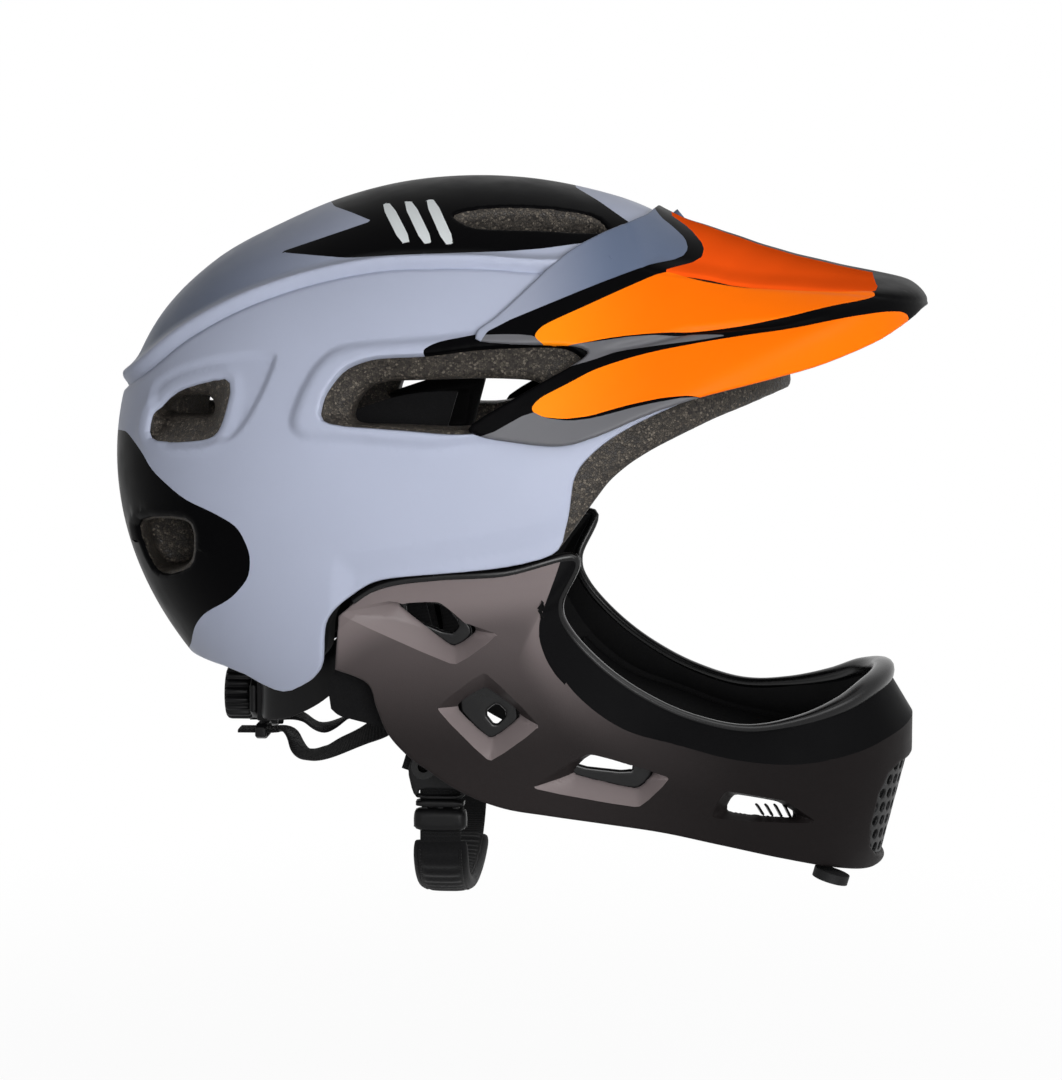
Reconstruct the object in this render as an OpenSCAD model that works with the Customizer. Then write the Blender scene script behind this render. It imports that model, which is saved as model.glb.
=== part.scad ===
// Child's full-face bicycle helmet with a peak, a detachable chin guard,
// a dial-adjusted retention band and a buckled chin strap.
// Frame: origin at the centre of the head, +X forward, +Y to the wearer's left, +Z up.

/* [Shell] */
// Half width of the outer shell
shell_half_w = 102; // [96:1:110]
// Squareness of the shell's cross-section, 2 is an ellipse
shell_square = 2.3; // [2.1:0.05:2.5]
// Wall of the outer shell
shell_wall = 1.6; // [1.2:0.2:2]
// Width of each top vent
top_vent_w = 15; // [8:1:16]
// Length of each top vent
top_vent_len = 62; // [40:2:70]
// Width of the vent in the middle of the back
back_vent_w = 34; // [24:2:44]
// Height of the vent in the middle of the back
back_vent_h = 15; // [10:1:18]

/* [Foam liner] */
// Foam thickness at the front, top and back
liner_t_mid = 25; // [22:1:28]
// Foam thickness at the sides
liner_t_side = 22; // [20:1:24]

/* [Peak] */
// Wall of the peak
peak_wall = 2.4; // [2:0.2:3]
// Gap between the peak and the shell
peak_gap = 0.8; // [0.6:0.1:1.2]
// Diameter of the three push pins that hold the peak
peak_pin_d = 6; // [5:0.5:7]
// Depth that each pin goes into its socket
peak_pin_depth = 9; // [7:1:11]

/* [Chin guard] */
// How far the guard's arms are inside the shell's widest line
guard_inset = 7; // [6:0.5:9]
// Reach of the guard in front of its arms
guard_reach = 188; // [180:1:194]
// Wall of the guard
guard_wall = 3.2; // [2.6:0.2:4]
// Thickness of the foam inside the guard's front
guard_foam_t = 12; // [8:1:14]
// Width of the window in front of the mouth
window_w = 74; // [50:2:76]
// Height of the window in front of the mouth
window_h = 42; // [30:2:46]
// Diameter of each hole in the grille
grille_hole_d = 4; // [3:0.2:4.4]
// Width of each tongue that holds the guard
tongue_w = 24; // [18:1:28]
// Thickness of each tongue
tongue_t = 3.6; // [3:0.2:4]
// Length of each tongue above the guard's edge
tongue_len = 18; // [14:1:20]

/* [Pads] */
// Thickness of the comfort pads on the foam
pad_t = 6; // [4:0.5:8]
// Thickness of each cheek pad
cheek_t = 9.4; // [8:0.2:11]

/* [Retention band] */
// Width of the band
band_w = 14; // [10:1:16]
// Thickness of the band
band_t = 1.8; // [1.4:0.2:2.2]
// Diameter of the dial
dial_d = 22; // [20:1:24]
// Teeth of the dial's pinion
pinion_teeth = 8; // [8:1:10]
// Module of the pinion and the racks
gear_module = 1; // [0.8:0.1:1.1]

/* [Straps] */
// Width of the webbing
web_w = 19; // [14:1:20]
// Thickness of the webbing
web_t = 1.6; // [1.2:0.2:2]
// Width of the rear webbing, which is narrower
rear_web_w = 12; // [8:1:14]
// Width of the chin pad on the strap
chin_pad_w = 21; // [19:1:24]

/* [Hidden] */

wider = shell_half_w - 102;                 // how much wider the helmet is than as drawn
guard_half_w = shell_half_w - guard_inset;
fit_gap = 0.3;          // clearance between pieces that don't move against each other
pad_gap = 0.4;          // hook-and-loop dots between the foam and each pad
run_gap = 0.08;         // radial clearance of a pin in its bore
inside_y = 60;          // a distance from the middle that is inside the foam's inner face at the sides
far = 160;              // half length of a cut that passes right through the helmet

// Side outline of the shell: [angle, radius] from the origin, angles from +X towards +Z
shell_line = [[0, 134], [15, 128.5], [30, 117.5], [45, 108], [60, 98.5], [75, 92.6], [90, 90], [105, 90.6],
    [120, 94], [135, 100.8], [150, 113], [165, 125.5], [180, 134.3], [200, 141.5], [225, 146.5], [270, 155],
    [315, 148]];
// The widest point of both sides, seen from the side
pole = [-8, -38];
shell_angles = [for (a = [0:9:359]) a];
ring_count = 11;        // rows of facets from the middle to each side
// How far the peak stands off the shell: [angle, height]
peak_lift = [[-40, 30], [0, 35], [7, 50], [13, 54.8], [15, 55], [15.7, 53], [17, 45.5], [20, 32], [24, 20],
    [28, 12.4], [33, 6.2],
    [39, 1.6], [44, 0]];
peak_angles = [-30, 0, 8, 13, 15, 15.7, 17, 20, 24, 28, 33, 39, 45, 54, 63, 72, 81, 90, 130, 180, 230, 280];
peak_wall_out = peak_gap + peak_wall;

liner_out = shell_wall + fit_gap;
liner_in_mid = liner_out + liner_t_mid;
liner_in_side = liner_out + liner_t_side;

// Side outlines, in x and z
shell_edge = [[-180, -98], [-86, -98], [-63, -109], [-50, -101.5], [-44.8, -94.9], [-43.7, -78.5],
    [-39.1, -71.7],
    [-26.9, -62.8], [-18.4, -60.2], [23.7, -56.8], [44.5, -51.7], [47.7, -38.6], [49.1, -24],
    [52.3, -17.8], [60.9, -10], [72, -3.5],
    [88, 3.5], [104, 9.2], [118, 13], [150, 20], [150, 150], [-180, 150]];
liner_edge = [[-180, -90], [-84, -90], [-61, -102], [-49, -96], [-43.5, -90], [-42, -77], [-37.5, -70],
    [-26, -61.5],
    [-18, -59], [23, -56], [42, -52], [48.1, -43.7], [56.5, -31.9], [62, -24.5], [69.6, -18.2], [78.4, -13],
    [89.4, -7.8], [100.5, -2.8], [111.9, 1.1], [124.9, 5.6], [150, 9], [150, 150], [-180, 150]];
side_vent = [[-44.6, -3.9], [-42.7, 6.9], [-35.4, 16.6], [-24.6, 20.6], [-4.4, 21.3], [15, 24], [46, 25],
    [54, 19],
    [44, 6], [27, -5], [7, -7.5], [-14.3, -5.6]];
rear_vent = [[-115.2, -13], [-113.9, -1.5], [-103.2, 8.4], [-78.8, 14.2], [-83.3, -5.3], [-88.4, -10.4]];
// The same two vents deeper in the foam, and how far from the middle that begins
side_vent_in = [[-34, -4.6], [-32.5, 3], [-28, 9], [-21, 11.6], [-4, 12], [15, 12.8], [35, 12], [39, 8],
    [30, 0],
    [10, -5.6], [-14, -4.6]];
rear_vent_in = [[-112.5, -3.5], [-111.5, -1.5], [-104, 4.4], [-88.5, 5.6], [-86.5, -1], [-89, -2.5]];
vent_step_y = [91, 74];
low_vent = [[-124.3, -42.8], [-93.2, -39], [-94.5, -59.5], [-114.8, -66.4]];
peak_edge = [[82, 100], [80, 76], [47.4, 62.3], [21, 36], [13, 31], [13, 26], [50, 25.7], [56, 22.5],
    [33.7, 10],
    [8.5, -4.8], [16.9, -8.3], [44.2, -11.6], [58.7, -7.3], [76.7, 0.8], [94.9, 6.4], [117, 11.5],
    [139.6, 17],
    [162.7, 25.7], [175.9, 33.6], [182.4, 38.4], [200, 39], [200, 100]];

// The pins of the peak: where each one crosses the shell's skin, and the direction they come out in
pin_turn = 40;
pin_out = [cos(pin_turn), 0, sin(pin_turn)];
socket_start = [6.5, 10.2];
pin_reach = [2.8, 1.8];

// The chin guard's plan is a superellipse about guard_x0; its edges are side outlines from the front to the arm
guard_x0 = -8;
guard_square = 2.2;
bevel = 10;
opening_line = [[170, -106.5], [164, -109.5], [152, -115.3], [134, -120], [114, -121.5], [94, -116.6],
    [76, -108],
    [60, -96.5], [47, -82.5], [43.5, -71], [49.6, -53.5], [24, -58.8], [-2, -60.4], [-24, -64.5],
    [-38.5, -75]];
ridge_line = [[180, -123], [172, -127], [156, -132], [134, -134.3], [110, -131.2], [87, -124.2], [67, -117.6],
    [50, -104.5], [38.5, -87], [36, -76], [40, -64], [20, -65], [-4, -67], [-26, -71], [-38.8, -81]];
bottom_line = [[168, -182.2], [161, -181.7], [147, -177.5], [127, -171.2], [104, -164.3], [82, -158.4],
    [60, -154.4],
    [40, -151.2], [22, -148], [6, -141.5], [-9, -131.5], [-20, -120.5], [-24.5, -110], [-28, -100.5],
    [-40, -95.5]];
bevel_at = [1, 1, 1, 1, 1, 1, 1, 1, 1, 0.8, 0.3, 0.1, 0.1, 0.1, 0.1];
// Vents of the guard: the wide mouth of each funnel, and the hole at its bottom
funnel_a = [[[-39, -74], [-18.7, -68.6], [22, -81.2], [5.3, -93.7]], [[-17, -70], [-0.3, -69],
    [12.6, -80.5], [4, -87]]];
funnel_b = [[[-2.7, -109.4], [15.9, -95], [36.9, -116.3], [17.6, -130.4]],
    [[4.8, -109.8], [15.6, -102.6], [29, -112.9], [17.5, -122.1]]];
funnel_c = [[[32.1, -140], [54.1, -126.3], [85.3, -136.8], [73.4, -148.3]],
    [[48, -135.5], [55, -128.5], [78.9, -134.4], [72.5, -141.8]]];
funnel_d = [[[99.3, -153.1], [105.2, -142.6], [127.7, -147.8], [141.8, -158.5]],
    [[106, -151.6], [109, -146], [125, -150], [133, -156]]];
funnel_depth = 8;
funnel_n = 3;           // points on each side of a funnel

// The guard comes off along this line, and the tongues and their sockets lie along it
guard_tilt = 30;
tongue_at = [12, -59.2];
tongue_root = 13;
screw_at = [-4.3, -9.3];
tongue_y = guard_half_w - guard_wall - tongue_t / 2 - 2.6;

// The dial: its axis is parallel to X at this height
dial_z = -118.5;
rack_x = -78;
pinion_r = pinion_teeth * gear_module / 2;
pivot = [50, 66.5 + wider, -18];
pivot_d = 4;
band_route = [pivot, [41, 68.8 + wider, -18.4], [31, 70.8 + wider, -23], [8, 72.5 + wider, -36],
    [-16, 70 + wider, -54], [-34, 60 + wider * 0.8, -77], [-43, 42 + wider * 0.5, -97],
    [-54, 38 + wider * 0.3, -109],
    [-66, 33.5, -116], [-75, 27, dial_z], [rack_x, 19, dial_z]];

// The chin strap hangs between the two dividers: straight down through the buckle, then round under the chin
hang_x = -3;
hang_y = 68 + wider;
strap_y = hang_y - 2.4;
hang_low = -191;
hang_turn = -164;
eyelet_x = hang_x - 6;
eyelet_z = -135.5;
strap_top = -143.4;
buckle_z = -154.7;
function hang(u) = [hang_x, sign(u) * strap_y * pow(abs(sin(u)), 2 / 2.2),
    hang_turn + (hang_low - hang_turn) * pow(cos(u), 2 / 2.2)];

// Smooth functions and shared shapes
function knot(line, i) = let (n = len(line), k = floor(i / n)) [line[i - k * n][0] + 360 * k,
    line[i - k * n][1]];
function knot_slope(line, i) =
    (knot(line, i + 1)[1] - knot(line, i - 1)[1]) / (knot(line, i + 1)[0] - knot(line, i - 1)[0]);
// Radius of an outline at angle a, on a smooth curve through its points
function line_radius(line, a) =
    let (b = a - 360 * floor(a / 360),
        i = max([for (k = [0:len(line) - 1]) if (line[k][0] <= b) k]),
        p = knot(line, i), q = knot(line, i + 1), h = q[0] - p[0], s = (b - p[0]) / h)
    p[1] * (1 - 3 * s * s + 2 * s * s * s) + q[1] * (3 * s * s - 2 * s * s * s)
    + knot_slope(line, i) * h * (s - 2 * s * s + s * s * s) + knot_slope(line,
    i + 1) * h * (s * s * s - s * s);

function unit(v) = v / norm(v);
// A curve through points, with n steps between each two
function curve_part(a, b, c, d, s) =
    0.5 * (2 * b + (c - a) * s + (2 * a - 5 * b + 4 * c - d) * s * s + (3 * b - a - 3 * c + d) * s * s * s);
function curve(p, n) =
    let (e = len(p) - 1)
    concat([for (i = [0:e - 1], k = [0:n - 1])
        curve_part(p[max(i - 1, 0)], p[i], p[i + 1], p[min(i + 2, e)], k / n)], [p[e]]);

// A point of the rounded skin: a goes round the side outline, t from the middle, 0, to the left side, 1
function skin(a, t, d_mid, d_side, lift = 0) =
    let (r = line_radius(shell_line, a) - d_mid + (lift == 0 ? 0 : lift * lookup(a > 300 ? a - 360 : a,
        peak_lift)),
        f = pow(cos(90 * t), 2 / shell_square), g = pow(abs(sin(90 * t)), 2 / shell_square))
    [pole.x + (r * cos(a) - pole.x) * f, sign(t) * (shell_half_w - d_side) * g,
    pole.y + (r * sin(a) - pole.y) * f];
// The same point inside the liner, on the flat facets between the skin's rows and columns
function on_facets(a, t, d) =
    let (step = shell_angles[1], i = floor(a / step), j = floor(t * ring_count), u = a / step - i,
        v = t * ring_count - j)
    facet_corner(i, j, d) * (1 - u) * (1 - v) + facet_corner(i + 1, j, d) * u * (1 - v)
    + facet_corner(i, j + 1, d) * (1 - u) * v + facet_corner(i + 1, j + 1, d) * u * v;
function facet_corner(i, j, d) = skin(i * shell_angles[1], j / ring_count, liner_in_mid + d,
    liner_in_side + d);
// Distance from the pole to the side outline in direction b, found by halving
function skin_reach(b, d, lo = 40, hi = 260, n = 16) =
    let (m = (lo + hi) / 2, p = [pole.x + m * cos(b), pole.y + m * sin(b)])
    n == 0 ? m : norm(p) < line_radius(shell_line, atan2(p.y, p.x)) - d
        ? skin_reach(b, d, m, hi, n - 1) : skin_reach(b, d, lo, m, n - 1);
// Half width of the skin where it is seen at x and z from the side
function skin_y(x, z, d_mid, d_side) =
    let (v = [x, z] - pole, f = norm(v) / skin_reach(atan2(v.y, v.x), d_mid))
    (shell_half_w - d_side) * pow(max(0, 1 - pow(f, shell_square)), 1 / shell_square);

// Takes its children as one faceted body
module faceted() resize([0, 0, 0]) children();

// A closed skin all the way round, with a pole at each side
module skin_solid(angles, d_mid, d_side, lift = 0) {
    cols = len(angles);
    rows = 2 * ring_count - 1;
    low = rows * cols;
    points = concat(
        [for (j = [1:rows], i = [0:cols - 1]) skin(angles[i], j / ring_count - 1, d_mid, d_side, lift)],
        [[pole.x, d_side - shell_half_w, pole.y], [pole.x, shell_half_w - d_side, pole.y]]);
    faces = concat(
        [for (j = [0:rows - 2], i = [0:cols - 1]) let (n = (i + 1) % cols)
            each [[j * cols + i, j * cols + n, (j + 1) * cols + n],
            [j * cols + i, (j + 1) * cols + n, (j + 1) * cols + i]]],
        [for (i = [0:cols - 1]) [low, (i + 1) % cols, i]],
        [for (i = [0:cols - 1]) [low + 1, (rows - 1) * cols + i, (rows - 1) * cols + (i + 1) % cols]]);
    polyhedron(points, faces);
}

// A closed slab between two grids of points with as many rows and columns
module slab(outer, inner) {
    rows = len(outer);
    cols = len(outer[0]);
    half = rows * cols;
    function at(j, i, side) = side * half + j * cols + i;
    points = concat([for (r = outer) each r], [for (r = inner) each r]);
    faces = concat(
        [for (j = [0:rows - 2], i = [0:cols - 2]) each [
            [at(j, i, 0), at(j, i + 1, 0), at(j + 1, i + 1, 0)], [at(j, i, 0), at(j + 1, i + 1, 0),
            at(j + 1, i, 0)],
            [at(j, i, 1), at(j + 1, i + 1, 1), at(j, i + 1, 1)], [at(j, i, 1), at(j + 1, i, 1), at(j + 1,
            i + 1, 1)]]],
        [for (i = [0:cols - 2]) each [
            [at(0, i, 0), at(0, i + 1, 1), at(0, i + 1, 0)], [at(0, i, 0), at(0, i, 1), at(0, i + 1, 1)],
            [at(rows - 1, i, 0), at(rows - 1, i + 1, 0), at(rows - 1, i + 1, 1)],
            [at(rows - 1, i, 0), at(rows - 1, i + 1, 1), at(rows - 1, i, 1)]]],
        [for (j = [0:rows - 2]) each [
            [at(j, 0, 0), at(j + 1, 0, 0), at(j + 1, 0, 1)], [at(j, 0, 0), at(j + 1, 0, 1), at(j, 0, 1)],
            [at(j, cols - 1, 0), at(j + 1, cols - 1, 1), at(j + 1, cols - 1, 0)],
            [at(j, cols - 1, 0), at(j, cols - 1, 1), at(j + 1, cols - 1, 1)]]]);
    polyhedron(points, faces);
}

// A strip along a path; across holds the direction of its width at each point
module ribbon(path, wide, thick, across) {
    n = len(path);
    function ahead(i) = unit(path[min(i + 1, n - 1)] - path[max(i - 1, 0)]);
    function width(i) = let (t = ahead(i)) unit(across[i] - (across[i] * t) * t) * wide / 2;
    function up(i) = unit(cross(ahead(i), width(i))) * thick / 2;
    slab([for (i = [0:n - 1]) [path[i] - width(i) + up(i), path[i] + width(i) + up(i)]],
        [for (i = [0:n - 1]) [path[i] - width(i) - up(i), path[i] + width(i) - up(i)]]);
}

// A pad that lies inside the foam, thinner at its edges
function soft(u, v) = 0.35 + 0.65 * pow(1 - pow(2 * u - 1, 4), 0.5) * pow(1 - pow(2 * v - 1, 4), 0.5);
module inner_pad(a0, a1, na, t0, t1, nt, thick) {
    function layer(u, v, e) = on_facets(a0 + (a1 - a0) * u, t0 + (t1 - t0) * v, pad_gap + e);
    slab([for (j = [0:nt]) [for (i = [0:na]) layer(i / na, j / nt, 0)]],
        [for (j = [0:nt]) [for (i = [0:na]) layer(i / na, j / nt, thick * soft(i / na, j / nt))]]);
}

// A side outline in x and z, cut through between y0 and y1
module side_cut(outline, y0 = -far, y1 = far, grow = 0)
    translate([0, y1, 0]) rotate([90, 0, 0]) linear_extrude(y1 - y0) offset(delta = grow) polygon(outline);

module both_sides() {
    children();
    mirror([0, 1, 0]) children();
}

// Places its children on the axis of peak pin i, with +Z out of the shell
module at_pin(i) {
    p = i == 0 ? skin(40, 0, 0, 0) : skin(45, 0.42, 0, 0);
    if (i == 0) translate(p) rotate([0, 90 - pin_turn, 0]) children();
    else both_sides() translate(p) rotate([0, 90 - pin_turn, 0]) children();
}

// Every vent through the shell or the foam, shrunk by a lip
module vents(lip) {
    both_sides() {
        side_cut(side_vent, lip > 0 ? vent_step_y[0] : 40, far, -lip);
        side_cut(rear_vent, lip > 0 ? vent_step_y[1] : 22, far, -lip);
        if (lip > 0) {
            side_cut(side_vent_in, 40, far);
            side_cut(rear_vent_in, 22, far);
        }
        side_cut(low_vent, 22, far, -lip);
        translate([31, 37, 30]) rotate([-24, 0, 0]) rotate([0, 0, -9])
            linear_extrude(90) offset(delta = -lip) polygon([[-top_vent_len / 2, -top_vent_w * 0.3],
                [-top_vent_len * 0.3, -top_vent_w / 2], [top_vent_len / 2 - 6, -top_vent_w / 2],
                [top_vent_len / 2, top_vent_w * 0.2], [top_vent_len * 0.3, top_vent_w / 2],
                [-top_vent_len * 0.35, top_vent_w * 0.45]]);
    }
    translate([-150, 0, -20]) rotate([90, 0, 90]) linear_extrude(90)
        offset(delta = -lip) polygon([[-back_vent_w / 2, -back_vent_h / 2],
        [back_vent_w / 2, -back_vent_h / 2],
            [back_vent_w * 0.36, back_vent_h / 2], [-back_vent_w * 0.36, back_vent_h / 2]]);
}

// The room that the dial needs under the back of the helmet
module dial_notch(z) translate([-150, -22, -200]) cube([90, 44, 200 + z]);

// Guard surface: q is the angle round the plan, 0 in front, z the height, d the distance inwards
function guard_w(z, d) = guard_half_w - 0.085 * (-60 - z) - d;
function guard_l(z, d) = guard_reach - (z < -135 ? 0.005 * (z + 135) * (z + 135) : 0) - d;
function guard_q(x, z, d) =
    let (u = max(-1, min(1, (x - guard_x0) / guard_l(z, d)))) acos(sign(u) * pow(abs(u), guard_square / 2));
function guard_at(q, z, d) =
    [guard_x0 + guard_l(z, d) * sign(cos(q)) * pow(abs(cos(q)), 2 / guard_square),
        sign(q) * guard_w(z, d) * pow(abs(sin(q)), 2 / guard_square), z];
function guard_y(x, z, d) =
    guard_w(z, d) * pow(max(0, 1 - pow(abs((x - guard_x0) / guard_l(z, d)), guard_square)), 1 / guard_square);
function both_ways(p) = concat([for (i = [len(p) - 1:-1:1]) p[i]], [for (v = p) [-v[0], v[1], v[2]]]);
// Each edge as [angle, height, bevel], from the left arm round the front to the right arm
guard_steps = 2;
guard_rows = [0, 0.33, 0.67, 1, 1.5, 2];
function edge_curve(line, k) = curve(both_ways([for (i = [0:len(line) - 1])
    [guard_q(line[i].x, line[i].y, k * bevel * bevel_at[i]), line[i].y, k * bevel * bevel_at[i]]]),
    guard_steps);
top_edge = edge_curve(opening_line, 1);
mid_edge = edge_curve(ridge_line, 0);
low_edge = edge_curve(bottom_line, 0);
// Rows from the bottom edge, 0, over the ridge, 1, to the opening's edge, 2
function guard_row(v, d) = [for (i = [0:len(top_edge) - 1])
    let (p = v < 1 ? low_edge[i] + (mid_edge[i] - low_edge[i]) * v : mid_edge[i] + (top_edge[i] - mid_edge[i]) * (v - 1))
    guard_at(p[0], p[1], p[2] + d)];

// One funnel of the guard's vents, as a ring on the left side
module funnel(f) {
    n = funnel_n;
    wide = [for (i = [0:len(f[0]) * n - 1]) ring_point(f[0], i, n)];
    hole = [for (i = [0:len(f[1]) * n - 1]) ring_point(f[1], i, n)];
    m = len(wide);
    cw = middle(f[0]);
    ch = middle(f[1]);
    function grow(p, c, e) = p + unit(p - c) * e;
    function out(p, d) = [p.x, guard_y(p.x, p.y, d), p.y];
    rings = concat([for (p = wide) out(grow(p, cw, 0.35), 1.2)], [for (p = hole) out(p, funnel_depth)],
        [for (p = hole) out(grow(p, ch, 2), funnel_depth)], [for (p = wide) out(grow(p, cw, 2.2),
        guard_wall - 0.4)]);
    polyhedron(rings, [for (r = [0:3], i = [0:m - 1]) let (j = (i + 1) % m, s = (r + 1) % 4)
        each [[r * m + i, s * m + j, r * m + j], [r * m + i, s * m + i, s * m + j]]]);
}
function middle(p) = [for (k = [0, 1]) [for (v = p) 1] * [for (v = p) v[k]] / len(p)];
// Point i of an outline whose corners are rounded a little, with n points a side
function ring_point(p, i, n) =
    let (k = floor(i / n), s = (i - k * n) / n, a = p[k], b = p[(k + 1) % len(p)],
        z = p[(k + len(p) - 1) % len(p)])
    s == 0 ? a * 0.86 + (b + z) * 0.07 : a * (1 - s) + b * s;

// Pieces of the helmet
module outer_shell() color([0.6, 0.64, 0.7]) faceted() difference() {
    intersection() {
        skin_solid(shell_angles, 0, 0);
        side_cut(shell_edge);
    }
    skin_solid(shell_angles, shell_wall, shell_wall);
    vents(0);
    dial_notch(-104);
    at_pin(0) translate([0, 0, -12]) cylinder(d = peak_pin_d + 0.8, h = 24, $fn = 12);
    at_pin(1) translate([0, 0, -12]) cylinder(d = peak_pin_d + 0.8, h = 24, $fn = 12);
}

module foam_liner() color([0.16, 0.15, 0.14]) faceted() difference() {
    intersection() {
        skin_solid(shell_angles, liner_out, liner_out);
        side_cut(liner_edge);
    }
    skin_solid(shell_angles, liner_in_mid, liner_in_side);
    vents(1.5);
    for (i = [0, 1]) at_pin(i) {
        translate([0, 0, -socket_start[i] - 1]) cylinder(d = peak_pin_d + 0.8, h = 27, $fn = 12);
        translate([0, 0, -socket_start[i] - peak_pin_depth - 2.3])
            cylinder(d = peak_pin_d + 5, h = peak_pin_depth + 2.6, $fn = 16);
    }
    both_sides() {
        at_tongue() translate([-tongue_w / 2 - 3.1, -4.4, -12]) cube([tongue_w + 6.2, 8.8,
        tongue_len + 15.4]);
        translate([pivot.x - anchor_plate[0] / 2 - fit_gap, inside_y,
        pivot.z - anchor_plate[2] / 2 - fit_gap])
            cube([anchor_plate[0] + 2 * fit_gap, skin_y(pivot.x, pivot.z, liner_in_mid,
            liner_in_side) - inside_y + 6
                + fit_gap, anchor_plate[2] + 2 * fit_gap]);
        for (p = anchor_at) translate([p.x - fit_gap, inside_y, anchor_z - 4])
            cube([p[1] + 2 * fit_gap, anchor_y(p) + lug_t + fit_gap - inside_y, lug_h + 4 + fit_gap]);
    }
}

module brow_pad() color([0.05, 0.05, 0.06]) inner_pad(6, 20, 4, -0.6, 0.6, 18, pad_t);
module crown_pad() color([0.05, 0.05, 0.06]) inner_pad(58, 128, 9, -0.2, 0.2, 6, pad_t);
module side_pad_left() color([0.05, 0.05, 0.06]) inner_pad(72, 150, 10, 0.74, 0.9, 4, pad_t);
module side_pad_right() mirror([0, 1, 0]) side_pad_left();

module peak_sockets() color([0.1, 0.1, 0.1]) for (i = [0, 1]) at_pin(i)
    translate([0, 0, -socket_start[i] - peak_pin_depth - 2]) difference() {
        cylinder(d = peak_pin_d + 4, h = peak_pin_depth + 2, $fn = 48);
        translate([0, 0, 2]) cylinder(d = peak_pin_d + 2 * run_gap, h = peak_pin_depth + 1, $fn = 48);
    }

// Strap anchors in the liner's edge: rear end and length of each, their lower edge, height and thickness
anchor_at = [[20, 20], [-33, 25]];
anchor_z = -58;
lug_h = 18;
lug_t = 3;
function anchor_y(p) = skin_y(p.x + p[1] / 2, -48, liner_in_mid, liner_in_side);
// A strap's distance from the middle where it lies on the foam
function on_foam(x, z) = skin_y(x, z, liner_in_mid, liner_in_side) - 1.5;

// Places its children where the left tongue crosses the guard's edge, with +Z into the helmet
module at_tongue() translate([tongue_at.x, tongue_y, tongue_at.y]) rotate([0, -guard_tilt, 0]) children();

module guard_sockets() color([0.1, 0.1, 0.1]) both_sides() intersection() {
    at_tongue() difference() {
        translate([-tongue_w / 2 - 2.8, -4.1, -12]) cube([tongue_w + 5.6, 8.2, tongue_len + 15]);
        translate([-tongue_w / 2 - 0.3, -tongue_t / 2 - 0.3, -13])
            cube([tongue_w + 0.6, tongue_t + 0.6, tongue_len + 14.5]);
    }
    translate([-60, 60, -55.5]) cube([120, 60, 60]);
}

// The plate in the foam that holds each band's pin between two ears
anchor_plate = [16, 3, band_w + 10];
ear_d = pivot_d + 4.6;
ear_h = 3.8;
ear_gap = 0.5;
module band_anchors() color([0.1, 0.1, 0.1]) both_sides() {
    back = skin_y(pivot.x, pivot.z, liner_in_mid, liner_in_side) + 6;
    for (z = [pivot.z - band_w / 2 - ear_gap - ear_h, pivot.z + band_w / 2 + ear_gap]) {
        translate([pivot.x, pivot.y, z]) cylinder(d = ear_d, h = ear_h, $fn = 48);
        translate([pivot.x - ear_d / 2 + 0.1, pivot.y, z]) cube([ear_d - 0.2, back - pivot.y - 2, ear_h]);
    }
    translate([pivot.x, pivot.y, pivot.z - band_w / 2 - 1]) cylinder(d = pivot_d, h = band_w + 2, $fn = 48);
    translate([pivot.x - anchor_plate[0] / 2, back - anchor_plate[1],
    pivot.z - anchor_plate[2] / 2]) cube(anchor_plate);
}

module strap_anchors() color([0.1, 0.1, 0.1]) both_sides() for (p = anchor_at)
    translate([p.x, anchor_y(p), anchor_z]) cube([p[1], lug_t, lug_h]);

module strap_eyelets() color([0.1, 0.1, 0.1]) both_sides() difference() {
    union() {
        translate([eyelet_x, hang_y + 2.2, eyelet_z]) rotate([90, 0, 0]) cylinder(d = 7.4, h = 6.6, $fn = 48);
        translate([eyelet_x, hang_y + 2.2, eyelet_z]) rotate([90, 0, 0]) cylinder(d = 9.6, h = 0.9, $fn = 48);
    }
    translate([eyelet_x, hang_y + 5, eyelet_z]) rotate([90, 0, 0]) cylinder(d = 4.4, h = 12, $fn = 48);
}

module eyelet_hole() translate([eyelet_x, hang_y + 5, eyelet_z]) rotate([90, 0, 0]) cylinder(d = 8, h = 14,
    $fn = 24);

front_route = [[eyelet_x - 1.2, hang_y - 3, eyelet_z - 3.7], [eyelet_x + 6, hang_y - 2.4, -118],
    [9, hang_y - 0.5, -95],
    [20, hang_y + 1.5, -73], [27, on_foam(28, -58) - 0.6, -59], [29, on_foam(29, -50), -50],
    [30, on_foam(30, -42), -42]];
module front_strap_left() color([0.04, 0.04, 0.05]) faceted() difference() {
    p = curve(front_route, 3);
    ribbon(p, web_w * 0.84, web_t, [for (v = p) [1, 0, 0.35]]);
    eyelet_hole();
}
module front_strap_right() mirror([0, 1, 0]) front_strap_left();

rear_route = [[eyelet_x + 0.8, hang_y - 5.2, eyelet_z - 4], [eyelet_x + 2, hang_y - 4.8, -121],
    [-8, hang_y - 2.4, -98],
    [-13, hang_y + 1, -76],
    [-15, on_foam(-15, -60) - 0.8, -60], [-15.5, on_foam(-15, -51), -51], [-15.5, on_foam(-15, -43), -43]];
module rear_strap_left() color([0.04, 0.04, 0.05]) faceted() difference() {
    p = curve(rear_route, 3);
    ribbon(p, rear_web_w, web_t * 0.8, [for (v = p) [1, 0, -0.2]]);
    eyelet_hole();
}
module rear_strap_right() mirror([0, 1, 0]) rear_strap_left();

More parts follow.
